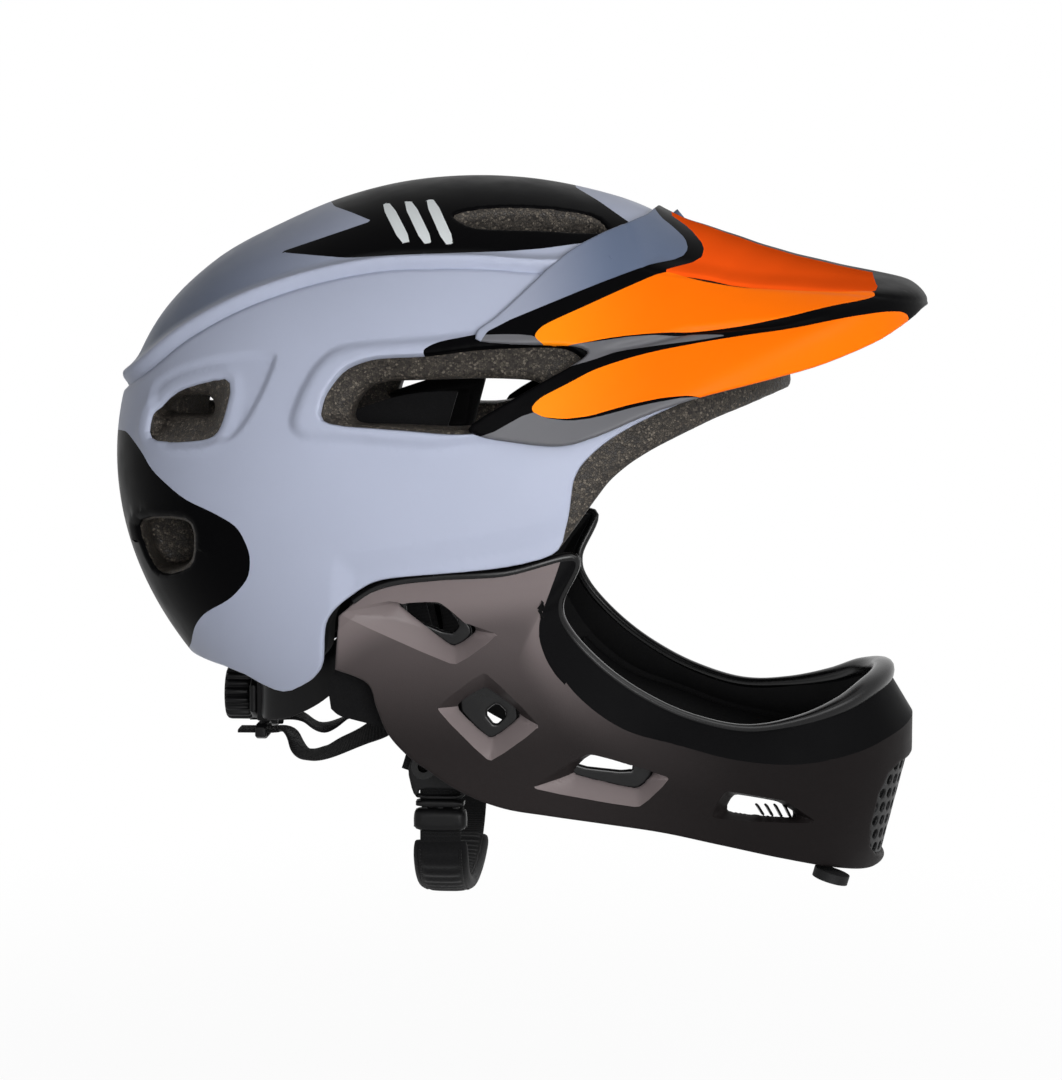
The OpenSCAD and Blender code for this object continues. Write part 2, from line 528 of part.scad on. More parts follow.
nape_route = [[-27.5, on_foam(-29, -45), -45], [-27.5, on_foam(-29, -53), -53],
    [-27.3, on_foam(-29, -63) - 0.8, -63],
    [-26, hang_y + 1, -82], [-22, hang_y - 1.4, -100], [-19.5, hang_y - 3, -110], [-23.5, hang_y - 6, -119],
    [-33, 57 + wider * 0.8, -125.5], [-43.5, 51 + wider * 0.5, -131.2], [-53, 41 + wider * 0.3, -135.6],
    [-61, 28, -136.6], [-68.6, 16.4, -131.3], [-76, 15.5, -131], [-88, 15.5, -131]];
nape_across = [[1, 0, 0], [1, 0, 0], [1, 0, 0], [1, 0, 0], [1, 0, 0.1], [0.9, 0.3, -0.1], [0.6, 0.7, -0.4],
    [0.2, 1, -0.4],
    [0.1, 1, -0.3], [0, 1, -0.1], [0, 1, 0], [0, 1, 0], [0, 1, 0], [0, 1, 0]];
module nape_strap_left() color([0.04, 0.04, 0.05])
    ribbon(curve(nape_route, 3), rear_web_w, web_t * 0.8, curve(nape_across, 3));
module nape_strap_right() mirror([0, 1, 0]) nape_strap_left();

// Chin strap
module strap_divider_left() color([0.1, 0.1, 0.1]) translate([hang_x, hang_y + 1.2,
    eyelet_z - 5]) rotate([90, 0, 0])
    difference() {
        linear_extrude(2.4) polygon([[-8.4, -7.6], [-10.4, -5], [-12.2, 3], [-11, 8], [-7.5, 10.4],
        [-2.5, 9.6], [1, 6.5],
            [9.4, -0.5], [10.4, -5], [8.4, -7.6]]);
        translate([eyelet_x - hang_x, 5, -1]) cylinder(d = 7.4 + 2 * run_gap, h = 5, $fn = 48);
        translate([-8.2, -6.2, -1]) cube([16.4, 2.6, 5]);
    }
module strap_divider_right() mirror([0, 1, 0]) strap_divider_left();

// Places its children at the buckle, with +Z up along the strap
module at_buckle() translate([hang_x, -strap_y, buckle_z]) children();

module short_chin_strap() color([0.04, 0.04, 0.05])
    translate([hang_x - 7.8, -strap_y - web_t / 2, buckle_z + 5]) cube([15.6, web_t,
    strap_top - buckle_z - 5]);

module buckle_plug() color([0.08, 0.08, 0.08]) at_buckle() {
    difference() {
        translate([-9.4, -3.6, 3.4]) cube([18.8, 7.2, 2.9]);
        translate([-8.1, -1.2, 4.8]) cube([16.2, 2.4, 4]);
    }
    for (x = [-7.4, -1.4, 4.4]) translate([x, -2, -3.4]) cube([x == -1.4 ? 2.8 : 3, 4, 7.4]);
}

module buckle_socket() color([0.08, 0.08, 0.08]) at_buckle() difference() {
    translate([-10.2, -4.4, -6.2]) cube([20.4, 8.8, 9.2]);
    translate([-8.2, -2.4, -4]) cube([16.4, 4.8, 10]);
    translate([-8.1, -1.2, -7]) cube([16.2, 2.4, 2.2]);
}

function hang_path(u0, u1, n) = [for (i = [0:n]) hang(u0 + (u1 - u0) * i / n)];
module long_chin_strap() color([0.04, 0.04, 0.05]) {
    p = concat([[hang_x, -strap_y, buckle_z - 5.2]], hang_path(-89.9, 89.9, 28), [[hang_x, strap_y,
    strap_top]]);
    ribbon(p, 15.6, web_t, [for (v = p) [1, 0, 0]]);
}

module chin_pad() color([0.06, 0.06, 0.07]) faceted() difference() {
    p = concat([hang(-89.9) + [0, 0, 0.6]], hang_path(-84, 36, 18));
    q = concat([hang(-89.9) + [0, 0, 1.6]], hang_path(-89, 42, 20));
    ribbon(p, chin_pad_w, 7.6, [for (v = p) [1, 0, 0]]);
    ribbon(q, 16.4, web_t + 0.8, [for (v = q) [1, 0, 0]]);
}

// Peak
module peak() color([0.95, 0.45, 0.1]) faceted() difference() {
    intersection() {
        skin_solid(peak_angles, -peak_wall_out, -peak_wall_out, 1);
        side_cut(peak_edge);
    }
    skin_solid(peak_angles, -peak_gap, -peak_gap, 0.975);
    at_pin(0) translate([0, 0, -6]) cylinder(d = peak_pin_d + 0.1, h = 6.2 + pin_reach[0], $fn = 24);
    at_pin(1) translate([0, 0, -6]) cylinder(d = peak_pin_d + 0.1, h = 6.2 + pin_reach[1], $fn = 24);
}

module peak_pins() color([0.1, 0.1, 0.1]) for (i = [0, 1]) at_pin(i)
    translate([0, 0, -socket_start[i] - peak_pin_depth + 0.5])
        cylinder(d = peak_pin_d, h = socket_start[i] + peak_pin_depth - 0.5 + pin_reach[i], $fn = 48);

// Chin guard
module window(grow) translate([124.5, 0, -147]) rotate([0, 14, 0])
    translate([0, -window_w / 2 - grow, -window_h / 2 - grow]) cube([90, window_w + 2 * grow,
    window_h + 2 * grow]);

module chin_guard() color([0.2, 0.19, 0.19]) faceted() difference() {
    union() {
        difference() {
            slab([for (v = guard_rows) guard_row(v, 0)], [for (v = guard_rows) guard_row(v, guard_wall)]);
            both_sides() for (f = [funnel_a, funnel_b, funnel_c, funnel_d])
                side_cut([for (i = [0:len(f[0]) * funnel_n - 1]) ring_point(f[0], i, funnel_n)], 20, far,
                -0.15);
        }
        both_sides() for (f = [funnel_a, funnel_b, funnel_c, funnel_d]) funnel(f);
    }
    window(0);
    both_sides() for (k = screw_at) at_tongue() translate([0, 12, k]) rotate([90, 0, 0])
        translate([0, 0, 7.2]) cylinder(d = 4.4, h = 12, $fn = 16);
}

function foam_row(v, d) = let (r = guard_row(v, d)) [for (i = [14:len(top_edge) - 15]) r[i]];
module guard_foam() color([0.06, 0.06, 0.06]) faceted() difference() {
    rows = [0.06, 0.3, 0.6, 0.92];
    slab([for (v = rows) foam_row(v, guard_wall + fit_gap)],
    [for (v = rows) foam_row(v, guard_wall + guard_foam_t)]);
    window(3);
    both_sides() for (f = [funnel_c, funnel_d]) side_cut(f[0], 20, far, 3.5);
}

module mouth_grille() color([0.12, 0.12, 0.12]) translate([124.5, 0, -147]) rotate([0, 14, 0]) difference() {
    intersection() {
        translate([-3.8, 0, -window_h / 2 - 1]) cylinder(r = 54, h = window_h + 2, $fn = 96);
        translate([20, -window_w / 2 + fit_gap, -window_h / 2 + fit_gap])
            cube([60, window_w - 2 * fit_gap, window_h - 2 * fit_gap]);
    }
    translate([-3.8, 0, -window_h / 2 - 4]) cylinder(r = 52, h = window_h + 8, $fn = 96);
    for (r = [-3:3], c = [-5:5]) if (abs(r) % 2 == 0 || c < 5)
        translate([20, (c + (abs(r) % 2) / 2) * 6, r * 5.6]) rotate([0, 90, 0]) cylinder(d = grille_hole_d,
        h = 50, $fn = 24);
}

module guard_tongues() color([0.1, 0.1, 0.1]) both_sides() at_tongue() difference() {
    translate([0, tongue_t / 2, 0]) rotate([90, 0, 0]) linear_extrude(tongue_t) polygon([[-tongue_w / 2,
    tongue_len],
        [tongue_w / 2, tongue_len], [tongue_w / 2, -tongue_root], [-5, -tongue_root], [-tongue_w / 2, -5]]);
    for (k = screw_at) translate([0, 12, k]) rotate([90, 0, 0]) cylinder(d = 4.4, h = 24, $fn = 48);
}

module guard_screws() color([0.3, 0.3, 0.3]) both_sides() at_tongue() for (k = screw_at) {
    translate([0, 4.4, k]) rotate([90, 0, 0]) cylinder(d = 4, h = 6.6, $fn = 48);
    translate([0, -2.1, k]) rotate([90, 0, 0]) cylinder(d = 5.6, h = 1.6, $fn = 48);
}

// A cheek pad inside the left arm: its edges in x and z
cheek_top = [[-44, -104], [-41, -97], [-35, -92.5], [-27, -90.5], [-18, -90.5], [-9, -91.5], [-2, -95],
    [2, -103]];
cheek_low = [[-43, -112], [-40, -114.5], [-35, -116], [-27, -118], [-18, -121], [-9, -124], [-2, -124],
    [2, -118]];
cheek_n = len(cheek_top) - 1;
cheek_d = guard_wall + 7.4;
function cheek_at(i, v, d) = let (p = cheek_top[i] * (1 - v) + cheek_low[i] * v) [p.x, guard_y(p.x, p.y, d),
    p.y];
function cheek_soft(i, v) =
    cheek_t * (0.4 + 0.6 * pow(1 - pow(2 * i / cheek_n - 1, 4), 0.5) * pow(1 - pow(2 * v - 1, 4), 0.5));
module cheek_pad_left() color([0.05, 0.05, 0.06])
    slab([for (j = [0:5]) [for (i = [0:cheek_n]) cheek_at(i, j / 5, cheek_d + cheek_soft(i, j / 5))]],
        [for (j = [0:5]) [for (i = [0:cheek_n]) cheek_at(i, j / 5, cheek_d)]]);
module cheek_pad_right() mirror([0, 1, 0]) cheek_pad_left();

foot_h = 3.6;
module guard_feet() color([0.05, 0.05, 0.05]) both_sides()
    translate([147, guard_y(147, -177, guard_wall / 2), -179]) rotate([0, 16, 0])
        translate([0, 0, -foot_h]) cylinder(d = 14, h = foot_h, $fn = 48);

// Retention band
module cradle() color([0.1, 0.1, 0.1]) difference() {
    translate([0, 0, -129]) intersection() {
        difference() {
            cylinder(r = 74.5, h = 21, $fn = 96);
            translate([0, 0, -1]) cylinder(r = 72.2, h = 23, $fn = 96);
        }
        translate([-90, -20, -1]) cube([60, 40, 30]);
    }
    for (y = [-13, 0, 13]) translate([-90, y - 3.5, -124.5]) cube([40, 7, 3]);
}

module cradle_pad() color([0.05, 0.05, 0.06]) translate([0, 0, -128]) intersection() {
    difference() {
        cylinder(r = 71.9, h = 19, $fn = 96);
        translate([0, 0, -1]) cylinder(r = 67.4, h = 21, $fn = 96);
    }
    translate([-90, -19, -1]) cube([60, 38, 30]);
}

module dial_case() color([0.08, 0.08, 0.08]) difference() {
    translate([-84, -17.6, -127.5]) cube([9.2, 35.2, 18]);
    translate([-80.9, -20, dial_z - band_w / 2 - 0.6]) cube([7, 40, band_w + 1.2]);
    translate([-90, 0, dial_z]) rotate([0, 90, 0]) cylinder(d = 4 + 2 * run_gap, h = 20, $fn = 48);
}

module strap_guides() color([0.1, 0.1, 0.1]) both_sides() difference() {
    translate([-81, 7.4, -134.2]) cube([5, 16.6, 6.5]);
    translate([-82, 8.9, -133]) cube([7, 13.6, 4]);
}

module dial_knob() color([0.1, 0.1, 0.1]) translate([-84.4, 0, dial_z]) rotate([0, -90, 0]) difference() {
    union() {
        cylinder(d = dial_d, h = 11, $fn = 96);
        translate([0, 0, -6.4]) cylinder(d = 4, h = 7, $fn = 48);
    }
    for (i = [0:17]) rotate([0, 0, i * 20]) translate([dial_d / 2 + 0.4, 0, 1]) cylinder(d = 2.4, h = 12,
    $fn = 24);
    translate([0, 0, 9.4]) cylinder(d = dial_d - 8, h = 3, $fn = 48);
}

// Pinion: narrow teeth with play, its bore pressed on the knob's shaft
module dial_pinion() color([0.5, 0.5, 0.5]) translate([-79.9, 0, dial_z]) rotate([0, 90, 0]) difference() {
    union() {
        cylinder(r = pinion_r - 1.15 * gear_module, h = 4, $fn = 48);
        for (i = [0:pinion_teeth - 1]) rotate([0, 0, i * 360 / pinion_teeth]) linear_extrude(4)
            polygon([[pinion_r - 1.6 * gear_module, -0.75 * gear_module],
            [pinion_r + 0.85 * gear_module, -0.3 * gear_module],
                [pinion_r + 0.85 * gear_module, 0.3 * gear_module], [pinion_r - 1.6 * gear_module,
                0.75 * gear_module]]);
    }
    translate([0, 0, -1]) cylinder(d = 4, h = 6, $fn = 48);
}

pitch = PI * gear_module;
rack_past = 4.5;          // how far each rack reaches past the pinion when the band is at its widest
// One band: an eye at the temple, a strip round the head and a rack on one side of the pinion
module band(side) {
    difference() {
        union() {
            p = curve(band_route, 3);
            ribbon(p, band_w, band_t, [for (v = p) [0, 0, 1]]);
            translate([pivot.x, pivot.y, pivot.z - band_w / 2]) cylinder(d = pivot_d + 4, h = band_w,
            $fn = 48);
        }
        translate([pivot.x, pivot.y, pivot.z - band_w]) cylinder(d = pivot_d + 2 * run_gap, h = 2 * band_w,
        $fn = 48);
    }
    translate([rack_x - band_t / 2, 0, dial_z + side * pinion_r]) {
        translate([0, -rack_past, side > 0 ? 1.25 : -3]) cube([band_t, rack_past + 19.5, 1.75]);
        for (k = [-1:4]) translate([0, (k + 0.5) * pitch, 0]) rotate([90, 0, 90]) linear_extrude(band_t)
            polygon([[-0.95, side * 1.4], [-0.3, -side * 0.85], [0.3, -side * 0.85], [0.95, side * 1.4]]);
    }
}
module band_left() color([0.12, 0.12, 0.12]) band(1);
module band_right() color([0.12, 0.12, 0.12]) mirror([0, 1, 0]) band(-1);

outer_shell();
foam_liner();
brow_pad();
crown_pad();
side_pad_left();
side_pad_right();
peak_sockets();
guard_sockets();
band_anchors();
strap_anchors();
strap_eyelets();
front_strap_left();
front_strap_right();
rear_strap_left();
rear_strap_right();
nape_strap_left();
nape_strap_right();
strap_divider_left();
strap_divider_right();
short_chin_strap();
buckle_plug();
long_chin_strap();
buckle_socket();
chin_pad();
peak();
peak_pins();
chin_guard();
guard_foam();
mouth_grille();
guard_tongues();
guard_screws();
cheek_pad_left();
cheek_pad_right();
guard_feet();
cradle();
cradle_pad();
dial_case();
strap_guides();
dial_knob();
dial_pinion();
band_left();
band_right();
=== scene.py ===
"""Dresses the packed frame of a child's full-face bicycle helmet: painted shell, bead foam, peak, chin
guard, pads, webbing, buckle and fit dial. Lengths inside the helpers are in millimetres, and the objects
are made in metres."""
import math

import bpy
import numpy as np
from bpy.props import FloatProperty, FloatVectorProperty, IntProperty, PointerProperty
from mathutils import Matrix


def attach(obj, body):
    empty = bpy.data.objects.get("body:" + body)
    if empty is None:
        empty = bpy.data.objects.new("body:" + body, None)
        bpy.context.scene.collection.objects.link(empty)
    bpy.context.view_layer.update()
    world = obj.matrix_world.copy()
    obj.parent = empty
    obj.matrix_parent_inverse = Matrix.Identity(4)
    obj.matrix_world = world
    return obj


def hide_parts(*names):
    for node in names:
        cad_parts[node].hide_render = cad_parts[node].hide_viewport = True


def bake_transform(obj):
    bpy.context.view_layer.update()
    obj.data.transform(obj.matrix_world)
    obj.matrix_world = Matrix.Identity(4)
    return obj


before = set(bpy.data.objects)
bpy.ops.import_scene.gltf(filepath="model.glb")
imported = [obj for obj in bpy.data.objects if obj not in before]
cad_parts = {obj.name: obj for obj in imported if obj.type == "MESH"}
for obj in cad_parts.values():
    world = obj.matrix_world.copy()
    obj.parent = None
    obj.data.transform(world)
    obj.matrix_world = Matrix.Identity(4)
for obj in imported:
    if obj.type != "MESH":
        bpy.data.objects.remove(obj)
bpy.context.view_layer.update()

bl_info = {
    "name": "Full-Face Bicycle Helmet",
    "version": (1, 0, 0),
    "blender": (4, 5, 0),
    "location": "3D View > Sidebar > Helmet",
    "description": "Builds a child's full-face bicycle helmet over its packed frame",
    "category": "Add Mesh",
}


# Shapes of the real helmet, as the solids have them: lengths in millimetres, angles in degrees

# The shell's side outline: angle and radius
SHELL_LINE = np.array([[0, 134], [15, 128.5], [30, 117.5], [45, 108], [60, 98.5], [75, 92.6], [90, 90],
                       [105, 90.6], [120, 94], [135, 100.8], [150, 113], [165, 125.5], [180, 134.3],
                       [200, 141.5], [225, 146.5], [270, 155], [315, 148]], float)
# The pole that the skin is drawn round, its half width, and how square its cross-sections are
POLE = (-8.0, -38.0)
HALF_W = 102.0
SQUARE = 2.3
# How far the foam's two faces and the pads' outer faces lie below the skin, at the middle and at the sides
FOAM_OUT = (1.9, 1.9)
FOAM_IN = (26.9, 23.9)
PAD_OUT = (27.3, 24.3)
# How far the peak stands off the skin, and its lift over that: angle and rise
PEAK_OFF = 3.2
PEAK_LIFT = [[-40, 30], [0, 35], [7, 50], [13, 54.8], [15, 55], [15.7, 53], [17, 45.5], [20, 32], [24, 20],
              [28, 12.4], [33, 6.2], [39, 1.6], [44, 0]]
# Edges and openings as they are seen from the side: x and z
SHELL_EDGE = [[-180, -98], [-86, -98], [-63, -109], [-50, -101.5], [-44.8, -94.9], [-43.7, -78.5],
              [-39.1, -71.7], [-26.9, -62.8], [-18.4, -60.2], [23.7, -56.8], [44.5, -51.7], [47.7, -38.6],
              [49.1, -24], [52.3, -17.8], [60.9, -10], [72, -3.5], [88, 3.5], [104, 9.2], [118, 13],
              [150, 20], [150, 150], [-180, 150]]
LINER_EDGE = [[-180, -90], [-84, -90], [-61, -102], [-49, -96], [-43.5, -90], [-42, -77], [-37.5, -70],
              [-26, -61.5], [-18, -59], [23, -56], [42, -52], [48.1, -43.7], [56.5, -31.9], [62, -24.5],
              [69.6, -18.2], [78.4, -13], [89.4, -7.8], [100.5, -2.8], [111.9, 1.1], [124.9, 5.6],
              [150, 9], [150, 150], [-180, 150]]
# The box that the foam's surface is searched in
LINER_BOX = np.array([[-138.0, -103.5, -104.0], [136.0, 103.5, 92.0]])
# Openings of the vents; those ending in _IN are where the foam's openings narrow to on the inside
SIDE_VENT = [[-44.6, -3.9], [-42.7, 6.9], [-35.4, 16.6], [-24.6, 20.6], [-4.4, 21.3], [15, 24], [46, 25],
             [54, 19], [44, 6], [27, -5], [7, -7.5], [-14.3, -5.6]]
SIDE_VENT_IN = [[-34, -4.6], [-32.5, 3], [-28, 9], [-21, 11.6], [-4, 12], [15, 12.8], [35, 12], [39, 8],
                [30, 0], [10, -5.6], [-14, -4.6]]
REAR_VENT_IN = [[-112.5, -3.5], [-111.5, -1.5], [-104, 4.4], [-88.5, 5.6], [-86.5, -1], [-89, -2.5]]
REAR_VENT = [[-115.2, -13], [-113.9, -1.5], [-103.2, 8.4], [-78.8, 14.2], [-83.3, -5.3], [-88.4, -10.4]]
LOW_VENT = [[-124.3, -42.8], [-93.2, -39], [-94.5, -59.5], [-114.8, -66.4]]
# The crown's and the back's vents in their own planes, with where those planes lie
TOP_VENT = [[-31, -4.5], [-18.6, -7.5], [25, -7.5], [31, 3], [18.6, 7.5], [-21.7, 6.75]]
BACK_VENT = [[-17, -7.5], [17, -7.5], [12.2, 7.5], [-12.2, 7.5]]
TOP_VENT_AT, TOP_VENT_TURN = (31, 37, 30), (-24, -9)
BACK_VENT_Z = -20
# The peak's edge as it is seen from the side
PEAK_EDGE = [[82, 100], [80, 76], [47.4, 62.3], [21, 36], [13, 31], [13, 26], [50, 25.7], [56, 22.5],
             [33.7, 10], [8.5, -4.8], [16.9, -8.3], [44.2, -11.6], [58.7, -7.3], [76.7, 0.8], [94.9, 6.4],
             [117, 11.5], [139.6, 17], [162.7, 25.7], [175.9, 33.6], [182.4, 38.4], [200, 39], [200, 100]]
# The chin guard's plan: where it starts, how square it is, its half width and its reach to the front. It gets
# narrower below GUARD_TOP, and its front draws back below GUARD_CHIN.
GUARD_X0 = -8.0
GUARD_SQUARE = 2.2
GUARD_WIDE, GUARD_TAPER, GUARD_TOP = 95, 0.085, -60
GUARD_LONG, GUARD_PULL, GUARD_CHIN = 188, 0.005, -135
# Its opening's edge, ridge and bottom edge from the front to the back, and the bevel's share at each point
BEVEL = 10.0
OPENING = [[170, -106.5], [164, -109.5], [152, -115.3], [134, -120], [114, -121.5], [94, -116.6],
           [76, -108], [60, -96.5], [47, -82.5], [43.5, -71], [49.6, -53.5], [24, -58.8], [-2, -60.4],
           [-24, -64.5], [-38.5, -75]]
RIDGE = [[180, -123], [172, -127], [156, -132], [134, -134.3], [110, -131.2], [87, -124.2], [67, -117.6],
         [50, -104.5], [38.5, -87], [36, -76], [40, -64], [20, -65], [-4, -67], [-26, -71], [-38.8, -81]]
BOTTOM = [[168, -182.2], [161, -181.7], [147, -177.5], [127, -171.2], [104, -164.3], [82, -158.4],
          [60, -154.4], [40, -151.2], [22, -148], [6, -141.5], [-9, -131.5], [-20, -120.5], [-24.5, -110],
          [-28, -100.5], [-40, -95.5]]
BEVEL_AT = [1, 1, 1, 1, 1, 1, 1, 1, 1, 0.8, 0.3, 0.1, 0.1, 0.1, 0.1]
# The recesses round its vents: outline on its face and outline of the hole
FUNNELS = [([[-39, -74], [-18.7, -68.6], [22, -81.2], [5.3, -93.7]],
            [[-17, -70], [-0.3, -69], [12.6, -80.5], [4, -87]]),
           ([[-2.7, -109.4], [15.9, -95], [36.9, -116.3], [17.6, -130.4]],
            [[4.8, -109.8], [15.6, -102.6], [29, -112.9], [17.5, -122.1]]),
           ([[32.1, -140], [54.1, -126.3], [85.3, -136.8], [73.4, -148.3]],
            [[48, -135.5], [55, -128.5], [78.9, -134.4], [72.5, -141.8]]),
           ([[99.3, -153.1], [105.2, -142.6], [127.7, -147.8], [141.8, -158.5]],
            [[106, -151.6], [109, -146], [125, -150], [133, -156]])]
FUNNEL_DEPTH = 8.0
# The mouth's window and grille: the middle, the lean in degrees, the grille's radius and where its axis lies
GRILLE_X, GRILLE_Z, GRILLE_LEAN = 124.5, -147, 14
GRILLE_RADIUS, GRILLE_SET = 53.0, -3.8
# Pivot of the retention bands, the dial, the chin strap's loop and what joins it
PIVOT = (50.0, 66.5, -18.0)
DIAL_Z = -118.5
HANG_X, HANG_Y, STRAP_Y, HANG_LOW, HANG_TURN = -3.0, 68.0, 65.6, -191.0, -164.0
STRAP_SQUARE = 2.2
EYELET_X, EYELET_Z, STRAP_TOP, BUCKLE_Z = -9.0, -135.5, -143.4, -154.7

# Colour borders, creases and frames as they were drawn over the side view: x and y in the photograph's pixels
CROWN_PANEL = [(278.5, 249.5), (330, 232), (371, 218), (352, 210), (333, 203), (325, 190), (330, 90),
               (560, 90), (575, 183), (600, 198), (634, 222), (600, 238), (544, 246), (489, 250.5),
               (400, 258), (350, 256), (315, 253)]
CROWN_BARS = [[(x, 196 + k), (x + 11, 195 + k), (x + 31, 241 - k * 0.4), (x + 20, 243 - k * 0.4)]
              for x, k in ((380, 5), (402, 3), (424, 1))]
REAR_BAND = [(60, 424), (124, 430), (128, 433), (141.5, 451), (152, 471), (183, 499), (214, 513),
             (238, 527), (250.5, 554), (249, 578), (231, 599), (204, 613), (194, 627), (190, 650),
             (150, 700), (60, 600)]
VENT_BAR = [(422, 352), (440, 343), (470, 337), (560, 318), (605, 312), (605, 376), (560, 372), (470, 362),
             (428, 361)]
RIDGE_TOP = [(100, 402), (145, 371), (181, 340), (216, 319), (251.6, 302), (298.8, 285.5), (346, 274),
             (393, 267), (480, 266), (545, 272), (640, 264), (760, 250), (760, 40), (60, 40), (60, 402)]
SIDE_LIP = [(289, 433), (286, 420), (296, 391), (310.6, 365), (327, 349), (346, 341.7), (381, 338),
            (440, 334), (520, 322), (600, 330), (610, 380), (560, 446), (480, 444), (440, 451), (393, 449),
             (346, 444), (303, 443)]
SCOOP = [(146, 398), (152.5, 379), (181, 363), (216, 353.5), (256, 349), (282, 352), (264, 396),
         (248, 424), (233, 442), (200, 452), (156, 452)]
LOWER_STEP = [(330, 556), (353, 552), (430, 544), (545, 523.7), (562, 505), (572, 470), (640, 470),
              (640, 660), (330, 660)]
PEAK_GREY = [(478, 345), (489.7, 328), (594, 285), (642, 267), (684, 252.5), (690, 244), (687, 233),
             (674, 221), (662, 213), (650, 196), (640, 100), (300, 100), (300, 345)]
PEAK_SIDE = [(534, 335), (542.5, 325), (585, 306), (620, 290), (660, 272.5), (670, 271.5), (700, 281),
             (740, 287.5), (795, 290), (845, 291.5), (872.5, 290), (876, 295), (867.5, 299), (830, 306),
             (790, 316), (745, 324), (700, 330), (640, 334), (610, 337.5), (585, 342.5), (560, 346),
             (545, 345), (537.5, 340)]
PEAK_STRIP = [(470, 335), (515, 334), (536, 336), (545, 346), (585, 343), (640, 335), (700, 334),
              (730, 335), (700, 340), (660, 345), (620, 350), (590, 361), (540, 374), (515, 370),
              (470, 360)]
PEAK_TOP = [(657, 273), (703, 254.5), (706.6, 241), (691, 222), (670, 208), (660, 90), (1000, 90),
            (1000, 240), (872, 262), (880, 288), (862, 295), (800, 291), (739, 287), (705, 279)]
PEAK_FIN = [(531, 407.5), (540, 397.5), (570, 382.5), (592.5, 370), (630, 357.5), (660, 350), (700, 342.5),
             (745, 335), (790, 329), (845, 317.5), (885, 311.5), (902.5, 311.5), (909, 316), (908, 326),
             (880, 348), (840, 366), (795, 384), (750, 398), (710, 400), (690, 395), (660, 398),
             (630, 404.5), (610, 410), (590, 416), (565, 419), (545, 417.5), (534, 413.5)]
PEAK_ROOT = [(458, 436), (485, 437), (531, 411), (545, 418), (569.7, 421), (594, 418), (642, 405),
             (691, 396), (720, 402), (720, 440), (618, 450), (594, 470), (460, 470)]
PEAK_CREASE = [(640, 266), (657, 272), (705, 278), (739, 286), (800, 290), (862, 294), (930, 302),
               (1000, 300), (1000, 80), (560, 80), (560, 150), (620, 205)]
PEAK_GROOVE = [(560, 362), (600, 351), (642, 343), (691, 331), (780, 322), (830, 314)]
VENT_FRAMES = [([(386, 602), (392, 598), (420, 595), (453, 598), (471, 625), (473, 635), (460, 647),
                 (450, 648), (400, 628), (389, 622)],
                [(406, 603), (444, 603), (461, 624), (452, 634), (408, 616)]),
               ([(453, 702), (485, 670), (526, 715), (492, 750)],
                [(485, 712), (497, 702), (508, 713), (496, 726)]),
               ([(554, 776), (573, 750), (600, 750), (662, 769), (642, 793)],
                [(576, 765), (577, 755), (588, 753), (633, 762), (631.5, 771)])]
# A patch of painted shade at the front edge of the guard's arm
FRONT_EDGE_SHADE = [(564, 550), (556, 575), (547, 599), (539, 622), (539, 640), (546, 660), (556, 676), (567, 687),
              (580, 640), (620, 620), (620, 550)]


def line_radius(a):
    """Radius of the shell's side outline at the angles a, in degrees."""
    n = len(SHELL_LINE)
    k = np.arange(-1, n + 2)
    ang = SHELL_LINE[k % n, 0] + 360.0 * (k // n)
    rad = SHELL_LINE[k % n, 1]
    slope = np.zeros(len(k))
    slope[1:-1] = (rad[2:] - rad[:-2]) / (ang[2:] - ang[:-2])
    b = np.mod(a, 360.0)
    i = np.clip(np.searchsorted(ang, b, side="right") - 1, 1, n)
    h = ang[i + 1] - ang[i]
    s = (b - ang[i]) / h
    return (rad[i] * (1 - 3 * s**2 + 2 * s**3) + rad[i + 1] * (3 * s**2 - 2 * s**3)
            + slope[i] * h * (s - 2 * s**2 + s**3) + slope[i + 1] * h * (s**3 - s**2))


def smooth_table(points, width):
    """A table of straight steps, rounded off by averaging it over a width."""
    beyond, steps = 20, 8
    x = np.arange(points[0][0] - beyond, points[-1][0] + beyond, width / steps)
    y = np.interp(x, [p[0] for p in points], [p[1] for p in points])
    w = np.exp(-np.linspace(-2, 2, 4 * steps + 1) ** 2)
    return x, np.convolve(np.pad(y, 2 * steps, mode="edge"), w / w.sum(), mode="valid")


LIFT_X, LIFT_Y = smooth_table(PEAK_LIFT, 1.2)


def skin(a, t, d_mid, d_side, lift=0.0):
    """A point of the rounded skin: a goes round the side outline and t from the middle, 0, to the left, 1."""
    ahead = np.where(np.mod(a, 360) > 300, np.mod(a, 360) - 360, np.mod(a, 360))
    r = line_radius(a) - d_mid + lift * np.interp(ahead, LIFT_X, LIFT_Y)
    f = np.clip(np.cos(np.radians(90 * t)), 0, 1) ** (2 / SQUARE)
    g = np.abs(np.sin(np.radians(90 * t))) ** (2 / SQUARE)
    c, s = np.cos(np.radians(a)), np.sin(np.radians(a))
    return np.stack([POLE[0] + (r * c - POLE[0]) * f, np.sign(t) * (HALF_W - d_side) * g,
                     POLE[1] + (r * s - POLE[1]) * f], -1)


REACH = {}


def reach(x, z, d_mid):
    """How far the side outline is from the pole in the direction of x and z."""
    table = np.arange(0, 361, 0.5)
    nearest, furthest, halvings = 40.0, 260.0, 30
    if d_mid not in REACH:
        b = np.radians(table)
        lo, hi = np.full(len(b), nearest), np.full(len(b), furthest)
        for _ in range(halvings):
            m = (lo + hi) / 2
            px, pz = POLE[0] + m * np.cos(b), POLE[1] + m * np.sin(b)
            inside = np.hypot(px, pz) < line_radius(np.degrees(np.arctan2(pz, px))) - d_mid
            lo, hi = np.where(inside, m, lo), np.where(inside, hi, m)
        REACH[d_mid] = lo
    b = np.degrees(np.arctan2(np.asarray(z) - POLE[1], np.asarray(x) - POLE[0]))
    return np.interp(np.mod(b, 360), table, REACH[d_mid])


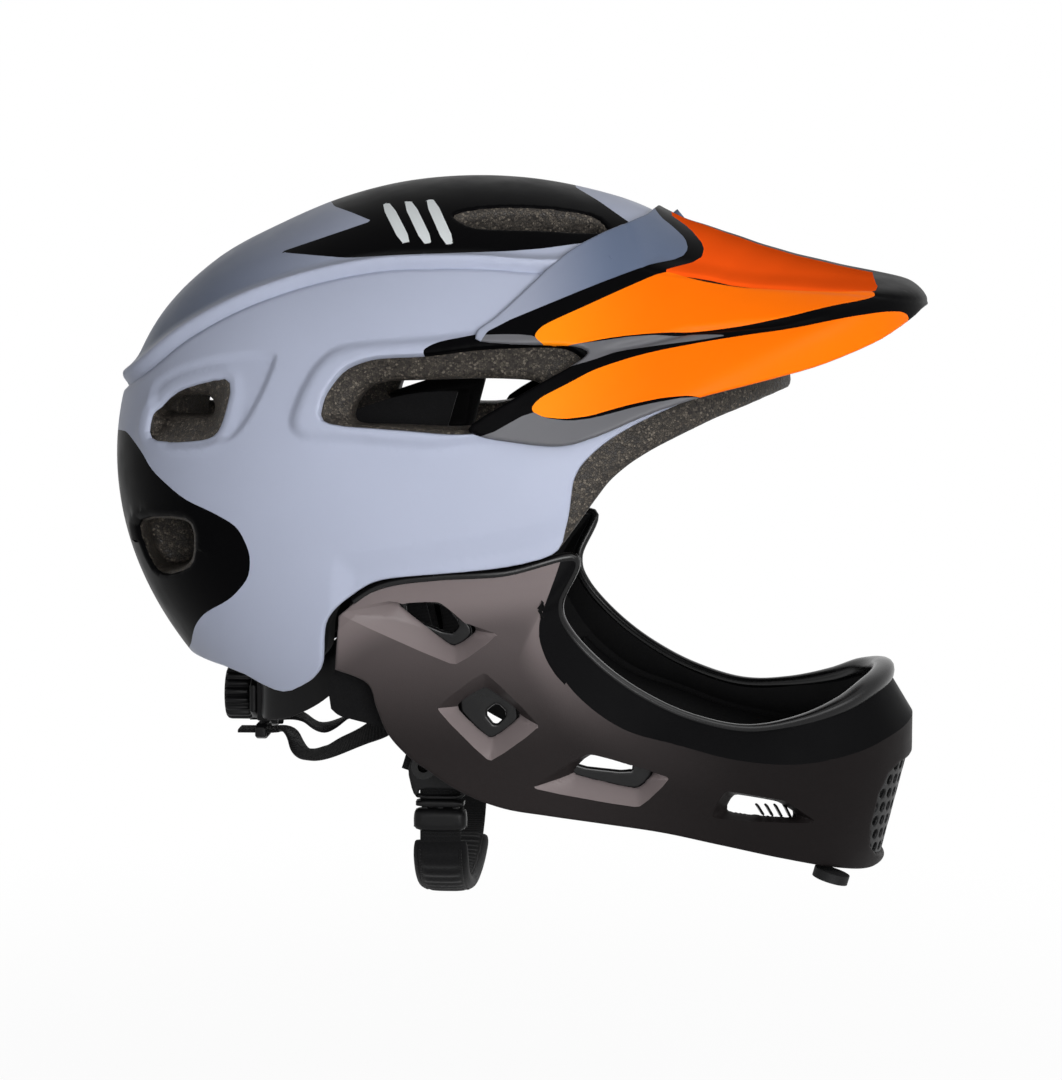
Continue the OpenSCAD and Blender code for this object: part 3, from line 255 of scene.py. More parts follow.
def skin_y(x, z, d_mid, d_side):
    """Half width of the skin where it is seen at x and z from the side."""
    f = np.hypot(np.asarray(x) - POLE[0], np.asarray(z) - POLE[1]) / reach(x, z, d_mid)
    return (HALF_W - d_side) * np.maximum(0, 1 - f**SQUARE) ** (1 / SQUARE)


def guard_w(z, d):
    """Half width of the chin guard at the height z and the depth d below its face."""
    return GUARD_WIDE - GUARD_TAPER * (GUARD_TOP - z) - d


def guard_l(z, d):
    """Reach of the chin guard to the front."""
    return GUARD_LONG - np.where(z < GUARD_CHIN, GUARD_PULL * (z - GUARD_CHIN) ** 2, 0) - d


def guard_q(x, z, d):
    """Angle round the guard's plan, in degrees: 0 at the front and 90 at its widest."""
    u = np.clip((x - GUARD_X0) / guard_l(z, d), -1, 1)
    return np.degrees(np.arccos(np.sign(u) * np.abs(u) ** (GUARD_SQUARE / 2)))


def guard_at(q, z, d):
    """The guard's point at the angle q."""
    c, s = np.cos(np.radians(q)), np.sin(np.radians(q))
    return np.stack([GUARD_X0 + guard_l(z, d) * np.sign(c) * np.abs(c) ** (2 / GUARD_SQUARE),
                     np.sign(q) * guard_w(z, d) * np.abs(s) ** (2 / GUARD_SQUARE), z + 0 * q], -1)


def guard_y(x, z, d):
    """Half width of the guard where it is seen at x and z from the side."""
    u = np.abs((x - GUARD_X0) / guard_l(z, d))
    return guard_w(z, d) * np.maximum(0, 1 - u**GUARD_SQUARE) ** (1 / GUARD_SQUARE)


def curve(points, n):
    """A smooth curve through points, with n steps between each two."""
    p = np.asarray(points, float)
    q = np.concatenate([p[:1], p, p[-1:]])
    s = (np.arange(n) / n)[:, None]
    out = [0.5 * (2 * b + (c - a) * s + (2 * a - 5 * b + 4 * c - d) * s**2 + (3 * b - a - 3 * c + d) * s**3)
           for a, b, c, d in zip(q[:-3], q[1:-2], q[2:-1], q[3:])]
    return np.concatenate(out + [p[-1:]])


def hang(u):
    """The chin strap's loop: u runs from the buckle side, -90, under the chin to the other side, 90."""
    s, c = np.sin(np.radians(u)), np.clip(np.cos(np.radians(u)), 0, 1)
    return np.stack([HANG_X + 0 * u, np.sign(u) * STRAP_Y * np.abs(s) ** (2 / STRAP_SQUARE),
                     HANG_TURN + (HANG_LOW - HANG_TURN) * c ** (2 / STRAP_SQUARE)], -1)


# Outlines and fields

def rounded(points, times=2, cut=0.2):
    """Cuts the corners of a closed outline."""
    p = np.asarray(points, float)
    for _ in range(times):
        q = np.roll(p, -1, 0)
        p = np.stack([p * (1 - cut) + q * cut, p * cut + q * (1 - cut)], 1).reshape(-1, 2)
        cut = 0.25
    return p


def outline_distance(p, outline, closed=True):
    """Distance of 2-D points from an outline, negative inside a closed one."""
    a = np.asarray(outline, float)
    b = np.roll(a, -1, 0)
    if not closed:
        a, b = a[:-1], b[:-1]
    best = np.full(len(p), 1e9)
    inside = np.zeros(len(p), bool)
    for (ax, ay), (bx, by) in zip(a, b):
        ex, ey = bx - ax, by - ay
        dx, dy = p[:, 0] - ax, p[:, 1] - ay
        h = np.clip((dx * ex + dy * ey) / (ex * ex + ey * ey + 1e-12), 0, 1)
        best = np.minimum(best, (dx - ex * h) ** 2 + (dy - ey * h) ** 2)
        if by != ay:
            inside ^= ((ay > p[:, 1]) != (by > p[:, 1])) & (p[:, 0] < ex * (p[:, 1] - ay) / (by - ay) + ax)
    best = np.sqrt(best)
    return np.where(inside, -best, best) if closed else best


def side_field(outline, times=2, cut=0.2):
    """A field over points seen straight from the side."""
    outline = rounded(outline, times, cut)
    return lambda v: outline_distance(v[:, [0, 2]], outline)


# The photograph's camera: azimuth and elevation in degrees, distance from the point that it looks at, focal
# length in pixels, and the middle and height of its frame
VIEW_AZ, VIEW_EL, VIEW_FAR, VIEW_LENS = 3.5, 6.0, 1150.0, 2875.0
VIEW_MID_X, VIEW_MID_Y, VIEW_HIGH = 531, 540, 1080
VIEW_AT = np.array([27.6, 0.0, -56.0])
_a, _e = math.radians(VIEW_AZ), math.radians(VIEW_EL)
VIEW_RIGHT = np.array([math.cos(_a), math.sin(_a), 0])
VIEW_BACK = np.array([math.sin(_a) * math.cos(_e), -math.cos(_a) * math.cos(_e), math.sin(_e)])
VIEW_UP = np.array([-math.sin(_a) * math.sin(_e), math.cos(_a) * math.sin(_e), math.cos(_e)])


def drawn(v):
    """Where points are in the photograph's frame; both sides of the helmet count as its near side."""
    q = v[:, :3] * [1, 0, 1] + np.stack([0 * v[:, 1], -np.abs(v[:, 1]), 0 * v[:, 1]], 1) - VIEW_AT
    far = VIEW_FAR - q @ VIEW_BACK
    return np.stack([VIEW_MID_X + VIEW_LENS * (q @ VIEW_RIGHT) / far,
                     VIEW_MID_Y - VIEW_LENS * (q @ VIEW_UP) / far], 1)


def drawn_field(outline, times=2, closed=True, cut=0.2):
    """A field over points seen in the photograph's frame."""
    outline = rounded(outline, times, cut) if closed else np.asarray(outline, float)
    return lambda v: outline_distance(drawn(v), outline, closed)


def seen_at(outline, side):
    """Carries an outline from the photograph's frame to a near surface; side(x, z) is its half width."""
    px = np.asarray(outline, float)
    ray = (VIEW_RIGHT * (px[:, :1] - VIEW_MID_X) - VIEW_UP * (px[:, 1:] - VIEW_MID_Y)) / VIEW_LENS - VIEW_BACK
    start = VIEW_AT + VIEW_BACK * VIEW_FAR
    y = np.full(len(px), -80.0)
    for _ in range(8):
        at = start + ray * ((y - start[1]) / ray[:, 1])[:, None]
        y = -side(at[:, 0], at[:, 2])
    return at[:, [0, 2]]


def close_to(fields, width):
    """Negative within a width of the border of any of the fields."""
    return lambda v: np.min([np.abs(f(v)) for f in fields], axis=0) - width


def folded(v):
    """Points of both halves, laid over the left half."""
    return np.stack([v[:, 0], np.abs(v[:, 1]), v[:, 2]], 1)


def ramp(x, lo, hi):
    """0 up to lo, 1 from hi, and smooth between them."""
    u = np.clip((x - lo) / (hi - lo), 0, 1)
    return u * u * (3 - 2 * u)


def bell(x, width):
    """1 where x is 0, falling off smoothly on both sides."""
    return np.exp(-(x / width) ** 2)


def crowned(u, power):
    """1 over the middle, down to 0 where u is -1 or 1."""
    return np.sqrt(np.maximum(0, 1 - np.abs(u) ** power))


def edge_round(d, r):
    """How far a surface falls away at the distance d from an edge that is rounded by r."""
    u = np.clip(d / r, 0, 1)
    return r * (1 - np.sqrt(np.maximum(0, 1 - (1 - u) ** 2)))


# Sheets and solids

class Sheet:
    """Triangles that can be split along a line of any field, so that edges, creases and paint borders stay
    crisp. A point holds x, y, z and any further values; held marks the points that lie on such a line."""

    def __init__(self, grid):
        rows, cols = grid.shape[:2]
        self.v = grid.reshape(rows * cols, -1).astype(float)
        n = np.arange(rows * cols).reshape(rows, cols)
        a, b, c, d = n[:-1, :-1].ravel(), n[:-1, 1:].ravel(), n[1:, 1:].ravel(), n[1:, :-1].ravel()
        self.f = np.concatenate([np.stack([a, b, c], 1), np.stack([a, c, d], 1)])
        self.held = np.zeros(len(self.v), bool)

    def tidy(self, weld=False):
        """Drops faces without area and points without a face; weld joins the points that lie in one place."""
        if weld:
            near = np.round(self.v[:, :3], 4)
            _, first, back = np.unique(near, axis=0, return_index=True, return_inverse=True)
            self.v, self.held, self.f = self.v[first], self.held[first], back.ravel()[self.f]
        f = self.f
        self.f = f[(f[:, 0] != f[:, 1]) & (f[:, 1] != f[:, 2]) & (f[:, 2] != f[:, 0])]
        used = np.unique(self.f)
        place = np.zeros(len(self.v), int)
        place[used] = np.arange(len(used))
        self.v, self.held, self.f = self.v[used], self.held[used], place[self.f]
        return self

    def edges(self):
        """Each edge once, as two point numbers in rising order."""
        f = self.f
        return np.unique(np.sort(np.concatenate([f[:, [0, 1]], f[:, [1, 2]], f[:, [2, 0]]]), 1), axis=0)

    def refine(self, near, size):
        """Halves the edges that are longer than size, where near is negative, four times at most."""
        for _ in range(4):
            f = self.f
            e = self.edges()
            long = np.linalg.norm(self.v[e[:, 0], :3] - self.v[e[:, 1], :3], axis=1) > size
            long &= near((self.v[e[:, 0]] + self.v[e[:, 1]]) / 2) < 0
            e = e[long]
            if not len(e):
                break
            n = len(self.v)
            key = e[:, 0] * n + e[:, 1]
            held = self.held[e[:, 0]] & self.held[e[:, 1]]
            self.v = np.concatenate([self.v, (self.v[e[:, 0]] + self.v[e[:, 1]]) / 2])
            self.held = np.concatenate([self.held, held])

            def cut(p, q):
                k = np.minimum(p, q) * n + np.maximum(p, q)
                i = np.minimum(np.searchsorted(key, k), len(key) - 1)
                return np.where(key[i] == k, n + i, -1)

            m = np.stack([cut(f[:, 0], f[:, 1]), cut(f[:, 1], f[:, 2]), cut(f[:, 2], f[:, 0])], 1)
            count = (m >= 0).sum(1)
            lead = np.where(count == 1, np.argmax(m >= 0, 1), np.argmax(m < 0, 1) + 1) % 3
            turn = (lead[:, None] + [0, 1, 2]) % 3
            a, b, c = np.take_along_axis(f, turn, 1).T
            ab, bc, ca = np.take_along_axis(m, turn, 1).T
            parts = [f[count == 0]]
            for k, tris in ((1, ((a, ab, c), (ab, b, c))), (2, ((a, ab, c), (ab, b, bc), (ab, bc, c))),
                            (3, ((a, ab, ca), (ab, b, bc), (ca, bc, c), (ab, bc, ca)))):
                parts += [np.stack(t, 1)[count == k] for t in tris]
            self.f = np.concatenate(parts)
        return self

    def split(self, field, *levels):
        """Cuts the faces along the lines where the field has these levels; near points move onto the line."""
        for level in levels:
            s = field(self.v) - level
            s[np.abs(s) < 1e-5] = 0
            f = self.f
            e = self.edges()
            e = e[s[e[:, 0]] * s[e[:, 1]] < 0]
            if not len(e):
                continue
            u = s[e[:, 0]] / (s[e[:, 0]] - s[e[:, 1]])
            for near, p, q, w in ((u < 0.2, e[:, 0], e[:, 1], u), (u > 0.8, e[:, 1], e[:, 0], 1 - u)):
                k = near & ~self.held[p] & (s[p] != 0) & (s[q] != 0)
                p, q, w = p[k], q[k], w[k]
                self.v[p] += (self.v[q] - self.v[p]) * w[:, None]
                s[p] = 0
            e = e[s[e[:, 0]] * s[e[:, 1]] < 0]
            u = (s[e[:, 0]] / (s[e[:, 0]] - s[e[:, 1]]))[:, None]
            n = len(self.v)
            key = e[:, 0] * n + e[:, 1]
            self.v = np.concatenate([self.v, self.v[e[:, 0]] * (1 - u) + self.v[e[:, 1]] * u])
            self.held = np.concatenate([self.held | (s == 0), np.ones(len(e), bool)])

            def mid(p, q):
                return n + np.searchsorted(key, np.minimum(p, q) * n + np.maximum(p, q))

            sign = np.sign(s)[f].astype(int)
            mixed = (sign.max(1) == 1) & (sign.min(1) == -1)
            two = mixed & (sign != 0).all(1)
            one = mixed & (sign == 0).any(1)
            lone = np.argmax(sign == -sign.sum(1)[:, None], 1)
            turn = np.where(one, np.argmax(sign == 0, 1), lone)
            r = np.take_along_axis(f, (turn[:, None] + [0, 1, 2]) % 3, 1)
            a, b, c = r[two].T
            ab, ac = mid(a, b), mid(a, c)
            g, h, i = r[one].T
            hi = mid(h, i)
            self.f = np.concatenate([f[~mixed]] + [np.stack(k, 1) for k in (
                (a, ab, ac), (ab, b, c), (ab, c, ac), (g, h, hi), (g, hi, i))])
        return self

    def centres(self):
        return self.v[self.f].mean(1)

    def keep(self, field):
        """Keeps the faces where the field is negative."""
        self.f = self.f[field(self.centres()) < 0]
        return self.tidy()

    def hole(self, field, *levels):
        """Takes out the faces where the field is negative, and cuts lines round the hole at these levels."""
        self.split(field, 0, *levels)
        return self.keep(lambda v: -field(v))

    def mirror(self):
        """Adds the same sheet on the other side of the middle plane."""
        n = len(self.v)
        other = np.where(np.abs(self.v[:, 1]) < 1e-6, np.arange(n), np.arange(n) + n)
        flipped = self.v.copy()
        flipped[:, 1] *= -1
        self.v = np.concatenate([self.v, flipped])
        self.held = np.concatenate([self.held, self.held])
        self.f = np.concatenate([self.f, other[self.f][:, ::-1]])
        return self.tidy()

    def normals(self):
        p = self.v[:, :3]
        a, b, c = p[self.f[:, 0]], p[self.f[:, 1]], p[self.f[:, 2]]
        face = np.cross(b - a, c - a)
        out = np.zeros((len(p), 3))
        for k in range(3):
            np.add.at(out, self.f[:, k], face)
        return out / (np.linalg.norm(out, axis=1, keepdims=True) + 1e-12)

    def solid(self, inner, outer=None):
        """Closes the sheet to a solid. Returns its points and faces and, for each face, the sheet's face that
        it follows and whether it lies on the inside."""
        outer = self.v[:, :3] if outer is None else outer
        n, m = len(outer), len(self.f)
        f = self.f
        e = np.concatenate([f[:, [0, 1]], f[:, [1, 2]], f[:, [2, 0]]])
        src = np.tile(np.arange(m), 3)
        code = e[:, 0].astype(np.int64) * n + e[:, 1]
        rim = ~np.isin(code, e[:, 1].astype(np.int64) * n + e[:, 0])
        i, j, s = e[rim, 0], e[rim, 1], src[rim]
        walls = [np.stack([j, i, i + n], 1), np.stack([j, i + n, j + n], 1)]
        faces = np.concatenate([f, f[:, ::-1] + n] + walls)
        part = np.concatenate([np.arange(m), np.arange(m), s, s])
        inside = np.concatenate([np.zeros(m, int), np.ones(m, int), np.zeros(2 * len(s), int)])
        return np.concatenate([outer, inner]), faces, part, inside


def surface(field, low, step):
    """Quads around the region where a field on a regular grid is negative."""
    inside = field < 0
    shape = tuple(k - 1 for k in field.shape)
    corners = [(i, j, k) for i in (0, 1) for j in (0, 1) for k in (0, 1)]
    part = {c: inside[c[0]:shape[0] + c[0], c[1]:shape[1] + c[1], c[2]:shape[2] + c[2]] for c in corners}
    count = sum(p.astype(np.int8) for p in part.values())
    cell = np.argwhere((count > 0) & (count < 8))
    index = np.full(shape, -1)
    index[tuple(cell.T)] = np.arange(len(cell))
    value = {c: field[cell[:, 0] + c[0], cell[:, 1] + c[1], cell[:, 2] + c[2]] for c in corners}
    total, hits = np.zeros((len(cell), 3)), np.zeros(len(cell))
    for c in corners:
        for axis in range(3):
            if c[axis] == 0:
                d = tuple(1 if k == axis else c[k] for k in range(3))
                a, b = value[c], value[d]
                m = (a < 0) != (b < 0)
                u = np.where(m, a / np.where(m, a - b, 1), 0)
                total += (np.array(c) + u[:, None] * (np.array(d) - np.array(c))) * m[:, None]
                hits += m
    points = (cell + total / hits[:, None]) * step + low
    faces = []
    for axis in range(3):
        u, w = [k for k in range(3) if k != axis]
        lo = [slice(1, -1) if k != axis else slice(0, -1) for k in range(3)]
        hi = [slice(1, -1) if k != axis else slice(1, None) for k in range(3)]
        a, b = inside[tuple(lo)], inside[tuple(hi)]
        for m, flip in ((a & ~b, False), (~a & b, True)):
            g = np.argwhere(m)
            g[:, [u, w]] += 1
            ring = []
            for du, dw in ((-1, -1), (0, -1), (0, 0), (-1, 0)):
                h = g.copy()
                h[:, u] += du
                h[:, w] += dw
                ring.append(index[tuple(h.T)])
            q = np.stack(ring, 1)
            if flip != (axis == 1):
                q = q[:, ::-1]
            faces.append(q)
    return points, np.concatenate(faces)


def soften(points, faces, rounds, keep=0.5):
    """Moves each point part of the way to the middle of its neighbours."""
    ahead = np.roll(faces, -1, 1)
    e = np.concatenate([np.stack([faces[:, k], ahead[:, k]], 1) for k in range(faces.shape[1])])
    e = np.concatenate([e, e[:, ::-1]])
    for _ in range(rounds):
        total, n = np.zeros_like(points), np.zeros(len(points))
        np.add.at(total, e[:, 0], points[e[:, 1]])
        np.add.at(n, e[:, 0], 1)
        points = points * keep + total / n[:, None] * (1 - keep)
    return points


def slab(outer, inner):
    """A closed body between two grids of points."""
    return Sheet(outer).solid(inner.reshape(-1, 3))[:2]


def rectangle(x0, z0, x1, z1):
    return [[x0, z0], [x1, z0], [x1, z1], [x0, z1]]


def along_x(path):
    """The direction across a strap that lies flat along X, for each point of its path."""
    return np.tile([1.0, 0, 0], (len(path), 1))


# Where a rounded edge is drawn, as shares of its radius
ROUNDING = (0.12, 0.35, 0.7, 1.0)


def pillow(outline, holes, thick, radius, place, step=1.0, times=2):
    """A plate with rounded edges: an outline and holes in u and v, laid out in space by place(u, v, w)."""
    rim = rounded(outline, times)
    fields = [lambda v, h=h: outline_distance(v[:, :2], h) for h in (rounded(h, times) for h in holes)]

    def field(v):
        d = outline_distance(v[:, :2], rim)
        for f in fields:
            d = np.maximum(d, -f(v))
        return d

    lo, hi = rim.min(0) - step, rim.max(0) + step
    n = np.maximum(np.ceil((hi - lo) / step).astype(int), 2)
    u, v = (np.linspace(lo[k], hi[k], n[k] + 1) for k in (0, 1))
    u, v = np.meshgrid(u, v, indexing="ij")
    sheet = Sheet(np.stack([u, v, 0 * u], -1))
    sheet.split(field, 0).keep(field)
    sheet.split(field, *(-k * radius for k in ROUNDING))
    h = thick / 2 - edge_round(-field(sheet.v), radius)
    top, low = sheet.v.copy(), sheet.v.copy()
    top[:, 2], low[:, 2] = h, -h
    points, faces = sheet.solid(low, top)[:2]
    return place(points[:, 0], points[:, 1], points[:, 2]), faces


def section(wide, thick, n, power, edge_power=2.6):
    """A flat rounded cross-section for webbing."""
    a = np.linspace(0, 2 * math.pi, n, endpoint=False)
    c, s = np.cos(a), np.sin(a)
    return np.stack([wide / 2 * np.sign(c) * np.abs(c) ** (2 / power),
                     thick / 2 * np.sign(s) * np.abs(s) ** (2 / edge_power)], 1)


def tube_faces(rows, n):
    """Quads round rows of n points, with a cap at each end."""
    i = np.arange(rows * n).reshape(rows, n)
    j = np.roll(i, -1, 1)
    faces = np.stack([i[:-1], j[:-1], j[1:], i[1:]], -1).reshape(-1, 4).tolist()
    return faces + [i[0, ::-1].tolist(), i[-1].tolist()]


def sweep(path, across, shape):
    """Carries a cross-section along a path; returns points, faces and each point's place along and across."""
    path, across = np.asarray(path, float), np.asarray(across, float)
    ahead = np.gradient(path, axis=0)
    ahead /= np.linalg.norm(ahead, axis=1, keepdims=True)
    width = across - (across * ahead).sum(1, keepdims=True) * ahead
    width /= np.linalg.norm(width, axis=1, keepdims=True)
    up = np.cross(ahead, width)
    shape = np.broadcast_to(shape, (len(path),) + np.shape(shape)[-2:])
    p = path[:, None] + width[:, None] * shape[:, :, :1] + up[:, None] * shape[:, :, 1:]
    n, m = p.shape[:2]
    run = np.concatenate([[0], np.cumsum(np.linalg.norm(np.diff(path, axis=0), axis=1))])
    uv = np.stack([np.broadcast_to(run[:, None], (n, m)), shape[:, :, 0]], -1).reshape(-1, 2)
    return p.reshape(-1, 3), tube_faces(n, m), uv


def spin(profile, place, n, ribs=0, rib_depth=0.0):
    """Turns a profile of (radius, height) round an axis, with ribs on its rim."""
    profile = np.asarray(profile, float)
    a = np.linspace(0, 2 * math.pi, n, endpoint=False)
    on_rim = profile[:, :1] > profile[:, 0].max() * 0.9
    r = profile[:, :1] * (1 - rib_depth * (0.5 - 0.5 * np.cos(ribs * a)) ** 2 * on_rim)
    p = np.stack([r * np.cos(a), r * np.sin(a), np.broadcast_to(profile[:, 1:], r.shape)], -1).reshape(-1, 3)
    return place(p[:, 0], p[:, 1], p[:, 2]), tube_faces(len(profile), n)


def join(*parts):
    """Several bodies as one mesh."""
    points, faces, uvs, n = [], [], [], 0
    for part in parts:
        p, f = part[:2]
        points.append(p)
        uvs.append(part[2] if len(part) > 2 else np.zeros((len(p), 2)))
        faces += [[int(k) + n for k in face] for face in f]
        n += len(p)
    return np.concatenate(points), faces, np.concatenate(uvs)


def add(name, body, nodes, part, finishes, painted=None, sharp=38.0):
    """Makes the object of a piece, with its finishes, its body and the solids that it stands for. The part
    holds points, faces and, where it has them, each point's own two lengths for the finish; painted gives
    the finish of each face, and edges that turn by more than sharp degrees stay crisp."""
    points, faces = part[0], part[1]
    faces = faces.tolist() if isinstance(faces, np.ndarray) else faces
    mesh = bpy.data.meshes.new(name)
    mesh.from_pydata((np.asarray(points) * 0.001).tolist(), [], faces)
    if len(part) > 2:
        layer = mesh.uv_layers.new(name="weave")
        loops = np.zeros(len(mesh.loops), int)
        mesh.loops.foreach_get("vertex_index", loops)
        layer.data.foreach_set("uv", np.asarray(part[2])[loops].ravel() * 0.001)
    for key in [finishes] if isinstance(finishes, str) else finishes:
        mesh.materials.append(finish(key))
    if painted is not None:
        mesh.polygons.foreach_set("material_index", np.asarray(painted, int))
    mesh.polygons.foreach_set("use_smooth", np.ones(len(mesh.polygons), bool))
    mesh.update()
    mesh.set_sharp_from_angle(angle=math.radians(sharp))
    obj = bpy.data.objects.new(name, mesh)
    bpy.context.scene.collection.objects.link(obj)
    if body:
        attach(obj, body)
    if nodes:
        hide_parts(*nodes)
    return obj


def flipped(part):
    """The same piece on the other side."""
    points = np.asarray(part[0]) * [1, -1, 1]
    faces = [list(f)[::-1] for f in part[1]]
    return (points, faces) + tuple(part[2:])


# Finishes

def paint(r, g, b):
    """A colour as it is read off a screen, as the linear values that the shaders use."""
    return tuple((c / 255 / 12.92) if c <= 10 else ((c / 255 + 0.055) / 1.055) ** 2.4 for c in (r, g, b))


def put(tree, kind, values=None, **settings):
    """Adds a node; a value is a number, a colour or another node's socket."""
    node = tree.nodes.new("ShaderNode" + kind)
    for key, value in settings.items():
        setattr(node, key, value)
    for key, value in (values or {}).items():
        if isinstance(value, bpy.types.NodeSocket):
            tree.links.new(value, node.inputs[key])
        else:
            node.inputs[key].default_value = value
    return node


def start(name, rough, sheen=0.0, metal=0.0, specular=0.5):
    """A new material; returns it with its node tree, its shader and the points of its object."""
    material = bpy.data.materials.new(name)
    material.use_nodes = True
    tree = material.node_tree
    shader = tree.nodes["Principled BSDF"]
    for key, value in (("Roughness", rough), ("Sheen Weight", sheen), ("Metallic", metal),
                       ("Specular IOR Level", specular)):
        shader.inputs[key].default_value = value
    where = put(tree, "TexCoord").outputs["Object"]
    return material, tree, shader, where


def blend_colour(tree, factor, first, second):
    """Goes from the first colour to the second; each is a colour or a socket."""
    def colour(c):
        return c if isinstance(c, bpy.types.NodeSocket) else (*c[:3], 1)
    return put(tree, "Mix", {0: factor, 6: colour(first), 7: colour(second)}, data_type="RGBA").outputs[2]


def scaled(colour, k):
    return tuple(min(1.0, c * k) for c in colour[:3])


def shade_slate(colour, k):
    """A darker and bluer tone of a colour."""
    return colour[0] * k * 0.85, colour[1] * k, colour[2] * k * 1.2


def reckon(tree, operation, *values):
    """The result of a sum, a product or another step of arithmetic in the node tree."""
    return put(tree, "Math", dict(enumerate(values)), operation=operation).outputs[0]


def fade(tree, value, lo, hi, least=0.0, most=1.0):
    """Goes smoothly from least to most while a value goes from lo to hi."""
    ends = {"From Min": lo, "From Max": hi, "To Min": least, "To Max": most}
    return put(tree, "MapRange", {"Value": value, **ends}, interpolation_type="SMOOTHSTEP").outputs[0]


def noise(tree, where, scale, detail=3.0):
    return put(tree, "TexNoise", {"Vector": where, "Scale": scale, "Detail": detail}).outputs["Fac"]


def roughen(tree, shader, value, lo, hi):
    """An uneven gloss from a noise, whose values mostly lie between 0.3 and 0.7."""
    r = put(tree, "MapRange", {"Value": value, "From Min": 0.3, "From Max": 0.7, "To Min": lo, "To Max": hi})
    tree.links.new(r.outputs[0], shader.inputs["Roughness"])


def bump(tree, shader, height, strength, distance):
    b = put(tree, "Bump", {"Strength": strength, "Distance": distance, "Height": height})
    tree.links.new(b.outputs[0], shader.inputs["Normal"])


def moulded(name, colour, rough, grain, depth, vary, specular=0.3, metal=0.0, far=None, painted_light_band=None,
            shade_low=None):
    """Painted or moulded plastic: faint clouding, a fine grain and a slightly uneven gloss. Up to three tones
    come in over it, each given with where it starts and where it is full, in metres: far along X, sink along
    Z and streak along both of the mesh's own lengths."""
    material, tree, shader, where = start(name, rough, metal=metal, specular=specular)

    def along(axis):
        return put(tree, "SeparateXYZ", {0: where}).outputs[axis]

    tone = blend_colour(tree, noise(tree, where, 26.0), scaled(colour, 1 - vary), scaled(colour, 1 + vary))
    if far:
        tone = blend_colour(tree, fade(tree, along(0), *far[1:]), tone, far[0])
    # A band of painted light, lighter or darker than the rest of the piece
    if painted_light_band:
        own = put(tree, "SeparateXYZ", {0: put(tree, "UVMap", uv_map="weave").outputs[0]}).outputs
        both = reckon(tree, "MULTIPLY", fade(tree, own[0], *painted_light_band[1:3]), fade(tree, own[1], *painted_light_band[3:]))
        tone = blend_colour(tree, both, tone, painted_light_band[0])
    # Painted shade: darker towards the bottom
    if shade_low:
        tone = blend_colour(tree, fade(tree, along(2), *shade_low[1:], most=0.9), tone, shade_low[0])
    tree.links.new(tone, shader.inputs["Base Color"])
    roughen(tree, shader, noise(tree, where, 90.0), rough - 0.04, rough + 0.05)
    bump(tree, shader, noise(tree, where, grain, 2.0), depth, 0.0002)
    return material


def bead_foam(name, dark, light, bead):
    """Moulded beads: each a slightly different grey, pressed flat, with dark joints between them."""
    material, tree, shader, where = start(name, 0.62, specular=0.25)
    cells = put(tree, "TexVoronoi", {"Vector": where, "Scale": 1 / bead}, feature="F1")
    tone = put(tree, "SeparateXYZ", {0: cells.outputs["Color"]}).outputs[0]
    steps = put(tree, "ValToRGB", {"Fac": tone})
    steps.color_ramp.elements[0].color = (*dark, 1)
    steps.color_ramp.elements[1].color = (*light, 1)
    for at, k in ((0.5, 0.25), (0.8, 0.5)):
        e = steps.color_ramp.elements.new(at)
        e.color = (*(dark[i] + (light[i] - dark[i]) * k for i in range(3)), 1)
    joint = put(tree, "TexVoronoi", {"Vector": where, "Scale": 1 / bead}, feature="DISTANCE_TO_EDGE")
    edge = put(tree, "MapRange", {"Value": joint.outputs["Distance"], "From Max": 0.12}).outputs[0]
    colour = blend_colour(tree, edge, dark, steps.outputs["Color"])
    tree.links.new(colour, shader.inputs["Base Color"])
    roughen(tree, shader, tone, 0.45, 0.75)
    bump(tree, shader, edge, 0.5, 0.0004)
    return material


def woven(name, colour, pitch=1.5):
    """Webbing: ribs across the strap and rows of threads along it, from the strap's own lengths."""
    material, tree, shader, where = start(name, 0.72, sheen=0.05, specular=0.1)
    own = put(tree, "SeparateXYZ", {0: put(tree, "UVMap", uv_map="weave").outputs[0]}).outputs

    def wave(value, length, shift=None):
        v = reckon(tree, "MULTIPLY", value, 2 * math.pi * 1000 / length)
        return reckon(tree, "SINE", v if shift is None else reckon(tree, "ADD", v, shift))

    rows = wave(own[1], pitch * 1.1)
    ribs = wave(own[0], pitch, reckon(tree, "MULTIPLY", rows, 1.4))
    both = reckon(tree, "MULTIPLY", ribs, rows)
    lift = put(tree, "MapRange", {"Value": both, "From Min": -1.0, "From Max": 1.0}).outputs[0]
    fuzz = reckon(tree, "MULTIPLY", noise(tree, where, 2200.0), 0.35)
    tone = blend_colour(tree, lift, scaled(colour, 0.45), scaled(colour, 1.7))
    tree.links.new(tone, shader.inputs["Base Color"])
    bump(tree, shader, reckon(tree, "ADD", lift, fuzz), 0.6, 0.0003)
    return material


def cloth(name, colour, thread=0.0007):
    """Brushed pad cloth: a fine knit with a soft nap."""
    material, tree, shader, where = start(name, 0.85, sheen=0.08, specular=0.1)
    shader.inputs["Sheen Roughness"].default_value = 0.5
    knit = put(tree, "TexVoronoi", {"Vector": where, "Scale": 1 / thread}, feature="SMOOTH_F1")
    knit = knit.outputs["Distance"]
    near = blend_colour(tree, knit, scaled(colour, 1.9), scaled(colour, 0.6))
    tone = blend_colour(tree, noise(tree, where, 60.0), near, scaled(colour, 1.2))
    tree.links.new(tone, shader.inputs["Base Color"])
    bump(tree, shader, knit, 0.5, 0.0003)
    return material


# What a user can change

def colour_property(name, text, rgb):
    return FloatVectorProperty(name=name, description=text, subtype="COLOR", size=3, min=0, max=1,
                               default=paint(*rgb))


def length_property(name, text, metres, low, high):
    return FloatProperty(name=name, description=text, subtype="DISTANCE", unit="LENGTH", default=metres,
                         min=low, max=high, precision=4)


